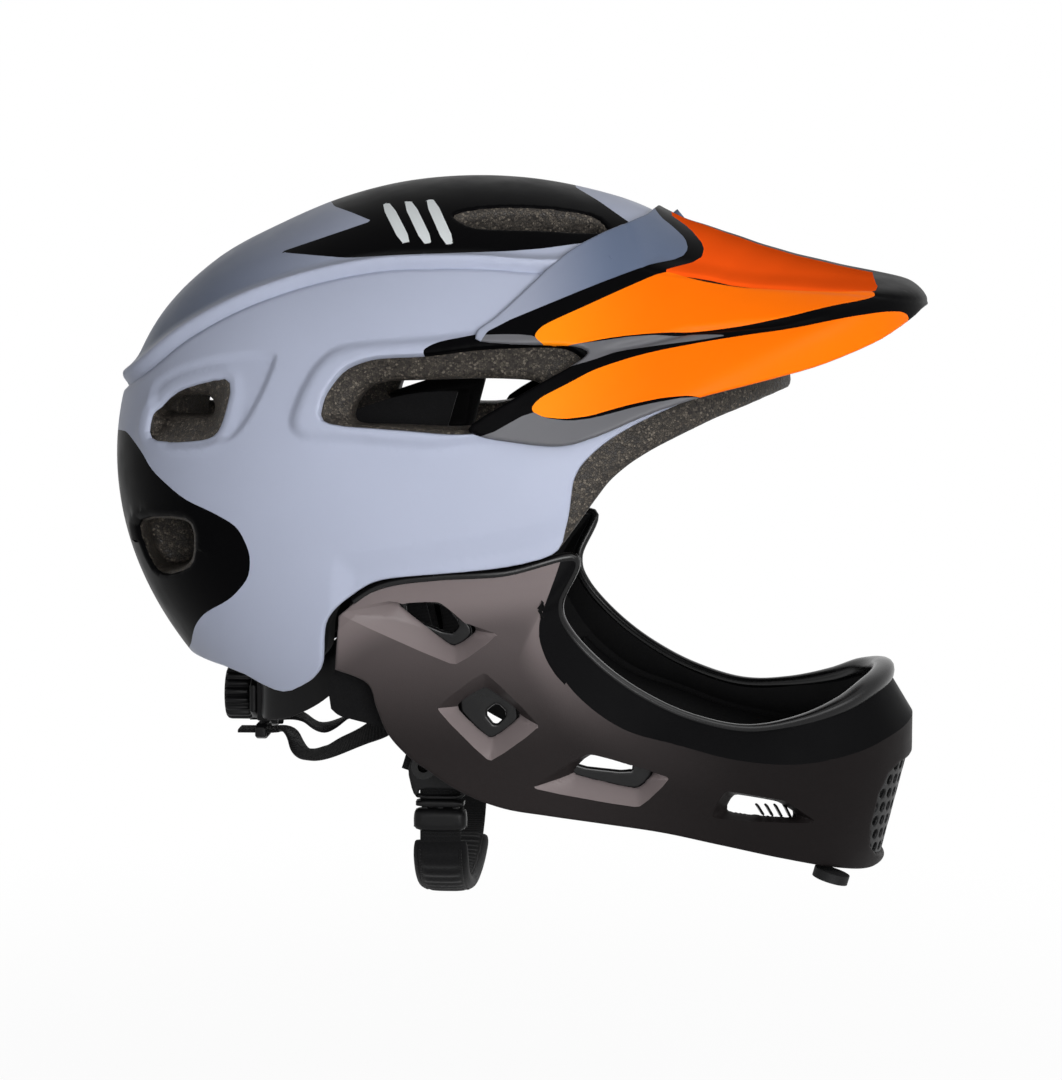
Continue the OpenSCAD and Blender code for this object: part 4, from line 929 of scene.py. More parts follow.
class HelmetColours(bpy.types.PropertyGroup):
    shell: colour_property("Shell", "Satin lacquer of the shell and of the rear of the peak", (168, 174, 193))
    panel: colour_property("Panels", "Black of the crown panel, rear band and peak's borders", (6, 6, 7))
    bars: colour_property("Bars", "Pale bars on the crown panel", (214, 219, 220))
    peak: colour_property("Peak sides", "Orange of the peak's side panels", (252, 113, 6))
    # Partly the paint's own fade, partly painted light on the rear tips
    peak_tip: colour_property("Peak tips", "Lighter orange at the rear tips of the panels", (250, 142, 16))
    # Partly the paint's own tone, partly painted shade on the top
    peak_top: colour_property("Peak top", "Deeper orange on top of the peak", (252, 88, 20))
    root: colour_property("Peak root", "Dark grey of the peak's lower root", (92, 92, 96))
    guard: colour_property("Guard arms", "Warm dark grey of the guard's arms", (84, 77, 77))
    guard_front: colour_property("Guard front", "Near black of the guard's front", (10, 10, 11))
    foam_dark: colour_property("Foam joints", "Darkest tone of the bead foam", (30, 27, 25))
    foam_light: colour_property("Foam beads", "Lightest beads of the foam", (106, 99, 90))
    webbing: colour_property("Webbing", "Colour of the straps", (9, 9, 10))
    cloth: colour_property("Pad cloth", "Colour of the pads", (9, 9, 10))
    fitting: colour_property("Fittings", "Black of the buckle, dial, cradle and bands", (13, 13, 14))


class HelmetSizes(bpy.types.PropertyGroup):
    shell_wall: length_property("Shell wall", "Thickness of the outer shell", 0.0016, 0.001, 0.003)
    peak_wall: length_property("Peak wall", "Thickness of the peak", 0.0024, 0.001, 0.004)
    guard_wall: length_property("Guard wall", "Thickness of the chin guard", 0.0032, 0.002, 0.005)
    edge_radius: length_property("Edge radius", "Rounding of the shell's edges", 0.0012, 0.0004, 0.003)
    foam_grid: length_property("Foam detail", "Grid that the foam is drawn on", 0.0016, 0.001, 0.004)
    bead: length_property("Bead size", "Size of the foam's beads", 0.0009, 0.0006, 0.004)
    web_thickness: length_property("Webbing thickness", "Thickness of the straps", 0.0015, 0.0008, 0.003)
    ribs: IntProperty(name="Dial ribs", description="Grip ribs round the dial", default=18, min=8, max=36)


def colours():
    return bpy.context.scene.helmet_colours


def sizes():
    return bpy.context.scene.helmet_sizes


# The finish of each material, made when a piece first asks for it
FINISHES = {}


def finish(name):
    if name in FINISHES:
        return FINISHES[name]
    c = colours()
    lacquer = {"grain": 700, "depth": 0.05}
    satin = {"grain": 1800, "depth": 0.12}
    made = {
        # The crown above the crest gets painted shade, darker towards the rear
        "shell": lambda: moulded("satin blue-grey lacquer, painted shade on the crown", c.shell, 0.42, **lacquer, vary=0.03, specular=0.1,
                                 painted_light_band=(shade_slate(c.shell, 0.27), 0.009, 0.022, 0.0, -0.12)),
        "panel": lambda: moulded("gloss black lacquer", c.panel, 0.34, **lacquer, vary=0.1, specular=0.012),
        "bars": lambda: moulded("pale lacquer", c.bars, 0.4, **lacquer, vary=0.02),
        # Lighter towards the rear tips: partly the orange's own fade, partly painted light
        "peak": lambda: moulded("orange lacquer", c.peak_tip, 0.38, **lacquer, vary=0.02, specular=0.05,
                                far=(c.peak, 0.02, 0.085)),
        # Deeper orange on the top: partly the paint's own tone, partly painted shade
        "peak_top": lambda: moulded("deep orange lacquer, partly painted shade", c.peak_top, 0.38, **lacquer, vary=0.03,
                                    specular=0.0),
        "root": lambda: moulded("dark grey lacquer", c.root, 0.4, **lacquer, vary=0.04, specular=0.2),
        # Painted shade: darker towards the front, where the crown faces up
        "peak_grey": lambda: moulded("peak blue-grey lacquer, painted shade at the front", scaled(c.shell, 0.75), 0.4, **lacquer,
                                     vary=0.03, specular=0.08, far=(shade_slate(c.shell, 0.34), 0.022, 0.066)),
        # Over the arms' fade to the near black front: a painted highlight along the ridge and painted shade
        # towards the bottom
        "guard": lambda: moulded("satin charcoal plastic", c.guard, 0.46, grain=1800, depth=0.16, vary=0.06,
                                 specular=0.04, far=(c.guard_front, 0.03, 0.115),
                                 painted_light_band=(scaled(c.guard, 1.9), -0.02, -0.002, 0.12, 0.05),
                                 shade_low=(scaled(c.guard, 0.11), -0.068, -0.128)),
        # A lighter copy of the guard's plastic: painted highlight
        "guard_painted_highlight": lambda: moulded("satin charcoal plastic, painted highlight", scaled(c.guard, 2.0), 0.42, **satin,
                                     vary=0.05, specular=0.2),
        # A darker copy of the guard's plastic: painted shade on the bevel and the arm's front edge
        "guard_painted_shade": lambda: moulded("satin black plastic, painted shade", scaled(c.guard_front, 1.25), 0.42, **satin,
                                       vary=0.06, specular=0.02, far=(c.guard_front, 0.03, 0.14)),
        "lining": lambda: moulded("matte black foam sheet", scaled(c.fitting, 0.7), 0.8, 1100, 0.4, 0.15,
                                  0.12),
        "foam": lambda: bead_foam("black bead foam", c.foam_dark, c.foam_light, sizes().bead),
        "webbing": lambda: woven("black webbing", c.webbing),
        "cloth": lambda: cloth("black pad cloth", c.cloth),
        "fitting": lambda: moulded("black moulded plastic", c.fitting, 0.4, 1500, 0.12, 0.1, 0.12),
        "gloss": lambda: moulded("glossy black plastic", scaled(c.fitting, 0.8), 0.24, 1200, 0.05, 0.1, 0.25),
        "rubber": lambda: moulded("soft black rubber", scaled(c.fitting, 0.8), 0.62, 1300, 0.3, 0.12, 0.2),
        "steel": lambda: moulded("plated steel", (0.5, 0.5, 0.52), 0.32, 1400, 0.08, 0.05, metal=1.0),
    }
    FINISHES[name] = made[name]()
    return FINISHES[name]


# The helmet's pieces

def turned(v, centre, axis_x, axis_z):
    """Points in a frame that was turned about X and then about its own Z."""
    p = v[:, :3] - centre
    a, b = math.radians(-axis_x), math.radians(-axis_z)
    y, z = p[:, 1] * math.cos(a) - p[:, 2] * math.sin(a), p[:, 1] * math.sin(a) + p[:, 2] * math.cos(a)
    return np.stack([p[:, 0] * math.cos(b) - y * math.sin(b), p[:, 0] * math.sin(b) + y * math.cos(b), z], 1)


TOP_OUTLINE, BACK_OUTLINE = rounded(TOP_VENT, 2), rounded(BACK_VENT, 2)


# The distance that stands for none, in the half of the helmet where an opening isn't
FAR_OFF = 60


def top_field(v):
    q = turned(v, TOP_VENT_AT, *TOP_VENT_TURN)
    return np.where(q[:, 2] > -2, outline_distance(q[:, :2], TOP_OUTLINE), FAR_OFF)


def back_field(v):
    q = np.stack([v[:, 1], v[:, 2] - BACK_VENT_Z], 1)
    return np.where(v[:, 0] < -60, outline_distance(q, BACK_OUTLINE), FAR_OFF)


# How much further than its edge a sheet reaches before it is cut there
SPARE = 6


# Reliefs of the painted shell, with how far each comes out or goes in and over what length it does so
LIP_OUT, LIP_RUN = 2.5, 13
SCOOP_IN, SCOOP_RUN = 1.7, 9
CREST_OUT, CREST_UP, CREST_HALF = 2.3, 7, 4.5
CREASE_IN, CREASE_HALF = 1.6, 2.6
CROWN_IN, CROWN_FROM, CROWN_TO = 1.3, 11, 21
STEP_IN, STEP_RUN = 1.7, 22


def shell_relief(v, lip, scoop, up, step):
    """How far the painted face stands off the skin: the lip round the side vents, the scoop behind them, the
    crest and the crease under it, the crown above them and the step above the lower edge."""
    h = LIP_OUT * ramp(-lip(v), 0, LIP_RUN)
    h -= SCOOP_IN * ramp(-scoop(v), 0, SCOOP_RUN)
    h += (CREST_OUT * bell(up - CREST_UP, CREST_HALF) - CREASE_IN * bell(up, CREASE_HALF)
          - CROWN_IN * ramp(up, CROWN_FROM, CROWN_TO))
    return h - STEP_IN * np.clip(-step(v) / STEP_RUN, 0, 1)


def build_shell():
    a, t = np.meshgrid(np.linspace(0, 360, 257), np.linspace(0, 1, 85), indexing="ij")
    sheet = Sheet(skin(a, t, 0, 0)).tidy(weld=True)
    edge = side_field(SHELL_EDGE)
    sheet.keep(lambda v: edge(v) - SPARE)
    sheet.split(edge, 0).keep(edge)
    side_vent, rear_vent, low_vent = (side_field(k) for k in (SIDE_VENT, REAR_VENT, LOW_VENT))
    vents = [side_vent, rear_vent, low_vent, top_field, back_field]
    lip, scoop, ridge, step = (drawn_field(k) for k in (SIDE_LIP, SCOOP, RIDGE_TOP, LOWER_STEP))
    panels = [drawn_field(CROWN_PANEL, 1, cut=0.08), drawn_field(REAR_BAND), drawn_field(VENT_BAR)]
    bars = [drawn_field(bar, 1) for bar in CROWN_BARS]
    sheet.refine(close_to(panels + bars, 7), 1.5)
    sheet.refine(close_to(vents + [edge], 3.6), 1.7)
    sheet.refine(close_to([lip, scoop, ridge], 8), 1.9)
    for field in vents:
        sheet.hole(field)
    sheet.split(lip, 0, -7)
    sheet.split(scoop, 0, -4, -9)
    sheet.split(ridge, 3, 0, -2, -4.5, -7, -9.5, -12, -16, -21, -26)
    for field in [step] + panels + bars:
        sheet.split(field, 0)
    sheet.split(edge, -0.35, -1.1)
    for field in vents:
        sheet.split(field, 0.35, 1.1)
    sheet.mirror()
    n = sheet.normals()
    v = sheet.v
    up = -ridge(v)
    h = shell_relief(v, lip, scoop, up, step)
    # Raised rims round the two rear vents, and no relief at the brow
    for field, rise in ((rear_vent, 0.8), (low_vent, 1.1)):
        h += rise * bell(field(v) - 3.0, 2.2) * (v[:, 2] > -52)
    h = np.where(v[:, 0] > 110, 0, h)
    near_edge = np.min([-edge(v)] + [field(folded(v)) for field in vents], axis=0)
    wall = sizes().shell_wall * 1000
    outer = v + n * (h - edge_round(near_edge, sizes().edge_radius * 1000))[:, None]
    inner = v + n * (np.minimum(h, 0.3) - wall)[:, None]
    points, faces, part, inside = sheet.solid(inner, outer)
    mid = sheet.centres()
    kind = np.zeros(len(mid), int)
    for fields, k in ((panels, 1), (bars, 2)):
        for field in fields:
            kind[field(mid) < 0] = k
    which = kind[part]
    which[inside == 1] = 1
    # Height above the crest and X, which place the painted shade on the crown
    uv = np.stack([up, v[:, 0]], 1)
    add("outer_shell_painted", "helmet", ["outer_shell"], (points, faces, np.concatenate([uv, uv])),
        ["shell", "panel", "bars"], which, sharp=30)


def either(a, b, k=2.2):
    """The common part of two fields, with the corner between them rounded over k."""
    h = np.clip(0.5 + 0.5 * (a - b) / k, 0, 1)
    return b * (1 - h) + a * h + k * h * (1 - h)


def build_liner():
    step = sizes().foam_grid * 1000
    low, high = LINER_BOX
    shape = np.ceil((high - low) / step).astype(int)
    x, y, z = (low[k] + step * np.arange(shape[k]) for k in range(3))
    xx, zz = np.meshgrid(x, z, indexing="ij")
    flat = np.stack([xx.ravel(), zz.ravel()], 1)
    side = np.hypot(xx - POLE[0], zz - POLE[1])

    def skin_distance(d_mid, d_side):
        f = (side / reach(xx, zz, d_mid))[:, None, :] ** SQUARE
        g = (np.abs(y) / (HALF_W - d_side))[None, :, None] ** SQUARE
        value = (f + g) ** (1 / SQUARE)
        far = np.sqrt(side[:, None, :] ** 2 + (y ** 2)[None, :, None])
        return far * (1 - 1 / np.maximum(value, 0.05))

    def from_side(outline):
        return outline_distance(flat, rounded(outline)).reshape(xx.shape)[:, None, :]

    outside, inside = skin_distance(*FOAM_OUT), skin_distance(*FOAM_IN)
    body = either(outside, -inside, 3.0)
    body = either(body, np.broadcast_to(from_side(LINER_EDGE), body.shape))
    # The foam shows as a thin rim in each of the shell's openings, and the side ones narrow on their way in
    side_rim, middle_rim, middle = 1.2, 1.5, 30
    depth = ramp(-outside, 0.5, 9.0)
    for outline, narrow in ((SIDE_VENT, SIDE_VENT_IN), (REAR_VENT, REAR_VENT_IN), (LOW_VENT, LOW_VENT)):
        wide, d = from_side(outline), from_side(narrow)
        d = (wide + side_rim) * (1 - depth) + (d + side_rim * (narrow is outline)) * depth
        d = np.maximum(d, middle - np.abs(y)[None, :, None])
        body = either(body, -d, 1.6)
    back = np.stack(np.meshgrid(y, z - BACK_VENT_Z, indexing="ij"), -1).reshape(-1, 2)
    back = outline_distance(back, BACK_OUTLINE).reshape(len(y), len(z))[None]
    back = np.broadcast_to(back, body.shape) + middle_rim
    body = either(body, -np.where((x < -60)[:, None, None], back, FAR_OFF))
    crown = z > 28
    gx, gy, gz = np.meshgrid(x, np.abs(y), z[crown], indexing="ij")
    top = top_field(np.stack([gx.ravel(), gy.ravel(), gz.ravel()], 1)).reshape(gx.shape) + middle_rim
    body[:, :, crown] = either(body[:, :, crown], -top)
    # Air channels pressed into the inside of the crown, one each side of the middle
    channel_y, channel_half, channel_deep = 31, 6.0, 4.5
    channel = np.abs(np.abs(y) - channel_y)[None, :, None] - channel_half
    channel = np.maximum(np.broadcast_to(channel, inside.shape), inside - channel_deep)
    body = either(body, -channel, 3.0)
    points, faces = surface(body.astype(np.float32), low, step)
    points = soften(points, faces, 2)
    mid = points[faces].mean(1)
    lower_rim = (mid[:, 2] < -70) & (mid[:, 0] < 45)
    add("foam_liner_beads", "helmet", ["foam_liner"], (points, faces), ["foam", "lining"],
        lower_rim * 1, sharp=60)


def peak_relief(v, crease, groove):
    """How far the peak's face stands off its sheet: it drops inside the crease, has a groove along each side
    and a low rib in the middle."""
    s, x = -crease(v), v[:, 0]
    h = -2.2 * ramp(s, 0, 22) * ramp(x, 60, 90) - 0.25 * bell(s, 2)
    h -= 1.3 * bell(groove(v), 3.5) * ramp(x, 55, 70) * (1 - ramp(x, 120, 150))
    return h + 0.9 * bell(v[:, 1], 9.0) * ramp(x, 85, 110)


def middle_stripe(v):
    """The black stripe along the peak's middle, wider to the front."""
    return np.abs(v[:, 1]) - 7.0 - 0.03 * (v[:, 0] - 80)


def build_peak():
    a, t = np.meshgrid(np.linspace(-34, 96, 281), np.linspace(0, 0.97, 105), indexing="ij")
    sheet = Sheet(skin(a, t, -PEAK_OFF, -PEAK_OFF, 1.0)).tidy(weld=True)
    edge = side_field(PEAK_EDGE)
    sheet.keep(lambda v: edge(v) - SPARE)
    sheet.split(edge, 0).keep(edge)
    crease = drawn_field(PEAK_CREASE, 1)
    groove = drawn_field(PEAK_GROOVE, closed=False)
    grey, top, root, strip = (drawn_field(k, 1) for k in (PEAK_GREY, PEAK_TOP, PEAK_ROOT, PEAK_STRIP))
    panel, fin = drawn_field(PEAK_SIDE), drawn_field(PEAK_FIN)
    paints = [grey, top, panel, fin, root, strip]
    sheet.refine(close_to(paints + [groove], 7), 1.4)
    sheet.refine(close_to([edge], 3.2), 1.4)
    sheet.split(crease, 0, -3, -10)
    sheet.split(groove, 3)
    for field in paints + [middle_stripe]:
        sheet.split(field, 0)
    sheet.split(edge, -0.4, -1.2)
    sheet.mirror()
    n = sheet.normals()
    v = sheet.v
    h = peak_relief(v, crease, groove)
    outer = v + n * (h - edge_round(-edge(v), 1.1))[:, None]
    inner = v + n * (h - sizes().peak_wall * 1000)[:, None]
    points, faces, part, inside = sheet.solid(inner, outer)
    mid = sheet.centres()
    finishes = ["peak_grey", "panel", "peak", "peak_top", "root"]
    kind = np.full(len(mid), finishes.index("panel"))
    for name, field in (("root", strip), ("peak_grey", grey), ("peak_top", top), ("peak", panel),
                        ("peak", fin), ("root", root)):
        kind[field(mid) < 0] = finishes.index(name)
    kind[(middle_stripe(mid) < 0) & (kind == finishes.index("peak_top"))] = finishes.index("panel")
    which = kind[part]
    which[inside == 1] = finishes.index("panel")
    add("peak_painted", "peak_assembly", ["peak"], (points, faces), finishes, which)


def guard_edges(n):
    """The guard's opening, ridge and bottom edge, from its right end round the front to its left end."""
    out = []
    for line, share in ((OPENING, 1), (RIDGE, 0), (BOTTOM, 0)):
        p = np.array(line, float)
        d = share * BEVEL * np.array(BEVEL_AT)
        q = np.stack([guard_q(p[:, 0], p[:, 1], d), p[:, 1], d], 1)
        out.append(curve(np.concatenate([q[:0:-1], q * [-1, 1, 1]]), n))
    return out


def guard_grid(rows, n):
    """Rows from the bottom edge, 0, over the ridge, 1, to the opening's edge, 2. Each point holds its angle
    round the plan, its height and its bevel."""
    top, mid, low = guard_edges(n)
    return np.stack([low + (mid - low) * v if v < 1 else mid + (top - mid) * (v - 1) for v in rows])


def window_field(half_y, half_z):
    """The window at the mouth, in its leaning plane."""
    a = math.radians(GRILLE_LEAN)
    corner = rounded(rectangle(-half_y, -half_z, half_y, half_z))

    def field(v):
        up = (v[:, 0] - GRILLE_X) * math.sin(a) + (v[:, 2] - GRILLE_Z) * math.cos(a)
        d = outline_distance(np.stack([v[:, 1], up], 1), corner)
        return np.where(v[:, 0] > 110, d, FAR_OFF)
    return field


def below(first, second, inside):
    """Distance from the line through two points of the side view; positive on the side that holds a third."""
    along = second - first
    across = np.array([-along[1], along[0]]) / np.linalg.norm(along)
    sign = np.sign((inside - first) @ across)
    return lambda v: sign * ((v[:, [0, 2]] - first) @ across)


def steps_along(p, axis):
    """Length from the first row or column of a grid of points to each of them."""
    gap = np.linalg.norm(np.diff(p, axis=axis), axis=2)
    return np.concatenate([np.zeros_like(gap.take([0], axis)), np.cumsum(gap, axis)], axis)


def guard_sheet(face_rows=44, bevel_rows=14):
    """The guard's face up to the ridge and its bevel up to the opening. Each point also holds its bevel, its
    distance from the rim and its distance above the ridge."""
    rows = np.concatenate([np.linspace(0, 1, face_rows), np.linspace(1, 2, bevel_rows)[1:]])
    grid = guard_grid(rows, 14)
    p = guard_at(grid[..., 0], grid[..., 1], grid[..., 2])
    up, along = steps_along(p, 0), steps_along(p, 1)
    rim = np.minimum(np.minimum(up, up[-1] - up), np.minimum(along, along[:, -1:] - along))
    above = up - up[face_rows - 1]
    return Sheet(np.concatenate([p, grid[..., 2:3], rim[..., None], above[..., None]], -1))


def build_guard():
    sheet = guard_sheet()
    wide = [side_field(w, 2, 0.07) for w, _ in FUNNELS]
    hole = [side_field(h, 2, 0.1) for _, h in FUNNELS]
    sheet.refine(close_to(wide + hole, 2.6), 1.4)
    for w, h in zip(wide, hole):
        sheet.split(w, 0.8, 0, -0.8)
        sheet.hole(h, 0.5, 1.2)
    window = window_field(37, 21)
    sheet.hole(window, 0.6, 1.5)
    sheet.split(lambda v: v[:, 4], 0.15, 0.4, 0.8, 1.2)
    # The patch of painted shade at the arm's front edge
    front = drawn_field(FRONT_EDGE_SHADE, 1)
    sheet.split(front, 0)
    # A line from each corner of a recess to the hole's corner, so that its four faces meet in crisp edges
    corners = [(np.array(w, float), np.array(h, float)) for w, h in FUNNELS]
    for w, h in corners:
        for k in range(4):
            sheet.split(below(w[k], h[k], w[3]), 0)
    v = sheet.v[:, :3].copy()
    rim, above = sheet.v[:, 4], sheet.v[:, 5].copy()
    if (sheet.normals() * (v - [40, 0, -120])).sum() < 0:
        sheet.f = sheet.f[:, ::-1]
    depth = np.zeros(len(v))
    near = np.minimum(rim, window(v))
    for w, h in zip(wide, hole):
        inside, outside = np.maximum(-w(v), 0), np.maximum(h(v), 0)
        depth = np.maximum(depth, FUNNEL_DEPTH * inside / (inside + outside + 1e-6))
        near = np.minimum(near, h(v) + 3 * (w(v) > 0))
    sunk = depth > 0
    base = np.abs(v[:, 1]) - guard_y(v[:, 0], v[:, 2], 0)
    v[sunk, 1] = (np.sign(v[:, 1]) * (guard_y(v[:, 0], v[:, 2], depth) + base))[sunk]
    sheet.v[:, :3] = v
    n = sheet.normals()
    outer = v - n * edge_round(near, 1.2)[:, None]
    inner = v - n * (sizes().guard_wall * 1000)
    points, faces, part, inside = sheet.solid(inner, outer)
    mid = sheet.centres()
    # Painted shade: the bevel above the ridge, the arm's front edge and a thin band along the top take a
    # darker copy of the finish; the band is partly a real black trim
    bevel = (mid[:, 0] > 46) | (mid[:, 4] < 1.2) & (mid[:, 2] > -66)
    dark = (above[sheet.f].mean(1) > 0) & bevel | (front(mid) < 0)
    # Painted highlight: the lower faces of the three rear recesses take a lighter copy of the finish
    painted_lit = np.zeros(len(mid), bool)
    for f, (w, h) in list(zip(wide, corners))[:3]:
        front_face, rear_face = below(w[2], h[2], w[3])(mid), below(w[0], h[0], w[3])(mid)
        painted_lit |= (f(mid) < 0) & (np.where(mid[:, 0] < w[3, 0], rear_face, front_face) > 0)
    which = np.where(inside == 1, 1, np.where(dark[part], 2, np.where(painted_lit[part], 3, 0)))
    # Height above the ridge and X, which place the painted highlight along the ridge
    uv = np.stack([above, v[:, 0]], 1)
    add("chin_guard_moulded", "guard_assembly", ["chin_guard"],
        (points, faces, np.concatenate([uv, uv])), ["guard", "lining", "guard_painted_shade", "guard_painted_highlight"], which,
        sharp=22)


def build_vent_frames():
    """Glossy frames set into the guard's three rear vents."""
    def in_vent(u, v, w):
        return np.stack([u, guard_y(u, v, 9.7) + w, v], 1)

    frames = []
    for outline, opening in VENT_FRAMES:
        around, gap = (seen_at(k, lambda x, z: guard_y(x, z, 9.6)) for k in (outline, opening))
        plate = pillow(around, [gap], 2.6, 1.1, in_vent, 1.0, 1)
        frames += [plate, flipped(plate)]
    add("guard_vent_frames", "guard_assembly", [], join(*frames), "gloss", sharp=35)


def build_guard_rim():
    """The rolled rim along the guard's opening, thicker at the front, and the slats in its foremost vents."""
    top, ends = guard_edges(8)[0], slice(4, -4)
    path = guard_at(top[:, 0], top[:, 1] + 0.2, top[:, 2] + 1.7)
    out = path - path.mean(0)
    out[:, 2] = 0
    path, out = path[ends], out[ends]
    swell = 1 + 1.1 * ramp(path[:, 0], 120, 168)[:, None, None]
    rim = sweep(path, out, section(4.2, 3.6, 16, 2.4)[None] * swell)
    slats, sunk = [], 6.0
    for k, x in enumerate((117.5, 121.0, 124.5, 128.0)):
        z0, z1 = -150.2 - 0.35 * k, -153.6 - 0.6 * k
        path = np.linspace([x, guard_y(x, z0, sunk), z0], [x + 2.0, guard_y(x + 2, z1, sunk), z1], 6)
        blade = sweep(path, np.tile([0.25, 1.0, 0], (len(path), 1)), section(4.0, 1.0, 12, 3))
        slats += [blade, flipped(blade)]
    add("guard_rim_and_slats", "guard_assembly", [], join(rim, *slats), "gloss", sharp=50)


def build_guard_lining():
    rows = np.linspace(0.06, 0.92, 26)
    grid = guard_grid(rows, 8)
    # It leaves about a quarter of the guard's length free at each end
    lead = int(round(14 / 57 * grid.shape[1]))
    grid = grid[:, lead:-lead]
    u = np.linspace(-1, 1, grid.shape[1])[None]
    w = np.linspace(-1, 1, len(rows))[:, None]
    gap, thick = 3.5, 11.5 * (0.3 + 0.7 * crowned(u, 10) * crowned(w, 5))
    outer = guard_at(grid[..., 0], grid[..., 1], grid[..., 2] + gap)
    inner = guard_at(grid[..., 0], grid[..., 1], grid[..., 2] + gap + thick)
    sheet = Sheet(np.concatenate([outer, inner], -1))
    sheet.hole(window_field(40, 24), 1.0)
    for wide, _ in FUNNELS[2:]:
        f = side_field(wide)
        sheet.hole(lambda v, f=f: f(v) - 3.5, 1.0)
    lining = sheet.solid(sheet.v[:, 3:6])[:2]
    add("guard_foam_lining", "guard_assembly", ["guard_foam"], lining, "lining", sharp=50)


def build_grille():
    a = math.radians(GRILLE_LEAN)

    def place(u, v, w):
        turn, r = u / GRILLE_RADIUS, GRILLE_RADIUS + w
        x, y = GRILLE_SET + r * np.cos(turn), r * np.sin(turn)
        return np.stack([GRILLE_X + x * math.cos(a) + v * math.sin(a), y,
                         GRILLE_Z - x * math.sin(a) + v * math.cos(a)], 1)

    # Six-sided holes in rows that are set off by half a step
    ring = np.linspace(0, 2 * math.pi, 7)[:-1] + math.pi / 6
    across, up, size = 6.4, 5.6, 2.1
    holes = [np.stack([(c + (abs(r) % 2) / 2) * across + size * np.cos(ring),
                       r * up + size * np.sin(ring)], 1)
             for r in range(-3, 4) for c in range(-5, 6) if abs(r) % 2 == 0 or c < 5]
    panel = pillow(rectangle(-41.0, -20.4, 41.0, 20.4), holes, 2.0, 0.7, place, 1.3, 1)
    add("mouth_grille_panel", "guard_assembly", ["mouth_grille"], panel, "fitting")


def build_soft_pad(node, a0, a1, t0, t1):
    """A stitched pad on the foam: crowned, pulled in at its edges, with sewn channels across it."""
    na, nt, thick, panel = 64, 40, 6, 24
    u, w = np.meshgrid(np.linspace(0, 1, na), np.linspace(0, 1, nt), indexing="ij")
    a, t = a0 + (a1 - a0) * u, t0 + (t1 - t0) * w
    d_mid, d_side = PAD_OUT
    outer = skin(a, t, d_mid, d_side)
    long_a = np.linalg.norm(np.diff(outer[:, nt // 2], axis=0), axis=1).sum()
    long_t = np.linalg.norm(np.diff(outer[na // 2], axis=0), axis=1).sum()
    rim = np.minimum(np.minimum(u, 1 - u) * long_a, np.minimum(w, 1 - w) * long_t)
    h = thick * (0.3 + 0.7 * (crowned(2 * u - 1, 6) * crowned(2 * w - 1, 6))) - 0.7 * bell(rim - 4.5, 0.9)
    length = max(long_a, long_t)
    along = (w if long_t > long_a else u) * length
    seams = max(2, int(length / panel))
    for k in range(1, seams):
        h = h - 1.1 * bell(along - length * k / seams, 1.3) * ramp(rim, 3, 8)
    inner = skin(a, t, d_mid + h, d_side + h)
    pad = add(node + "_cloth", "helmet", [node], slab(outer, inner), "cloth", sharp=60)


def build_pads():
    build_soft_pad("brow_pad", 6, 20, -0.6, 0.6)
    build_soft_pad("crown_pad", 58, 128, -0.2, 0.2)
    build_soft_pad("side_pad_left", 72, 150, 0.74, 0.9)
    build_soft_pad("side_pad_right", 72, 150, -0.9, -0.74)


def build_cheek_pads():
    """The pads on the inside of the guard's arms, with one seam round each."""
    top = curve([[-44, -104], [-41, -97], [-35, -92.5], [-27, -90.5], [-18, -90.5], [-9, -91.5], [-2, -95],
                 [2, -103]], 8)
    low = curve([[-43, -112], [-40, -114.5], [-35, -116], [-27, -118], [-18, -121], [-9, -124], [-2, -124],
                 [2, -118]], 8)
    gap, thick, rows = 10.6, 9.4, 34
    v = np.linspace(0, 1, rows)[:, None, None]
    p = top[None] * (1 - v) + low[None] * v
    x, z = p[..., 0], p[..., 1]
    u = np.linspace(-1, 1, len(top))[None]
    w = np.linspace(-1, 1, rows)[:, None]
    seam = bell(np.maximum(np.abs(u), np.abs(w)) - 0.8, 0.035)
    h = thick * (0.3 + 0.7 * (crowned(u, 6) * crowned(w, 6))) - 1.0 * seam + 0.8 * (1 - u ** 2) * (1 - w ** 2)
    for side, name in ((1, "left"), (-1, "right")):
        outer = np.stack([x, side * guard_y(x, z, gap), z], -1)
        inner = np.stack([x, side * guard_y(x, z, gap + h), z], -1)
        pad = add(f"cheek_pad_{name}_cloth", "guard_assembly", [f"cheek_pad_{name}"],
                  slab(outer, inner), "cloth", sharp=60)


def on_foam(x, z, gap=1.5):
    """Where a strap lies on the inside of the foam."""
    return float(skin_y(x, z, *FOAM_IN)) - gap


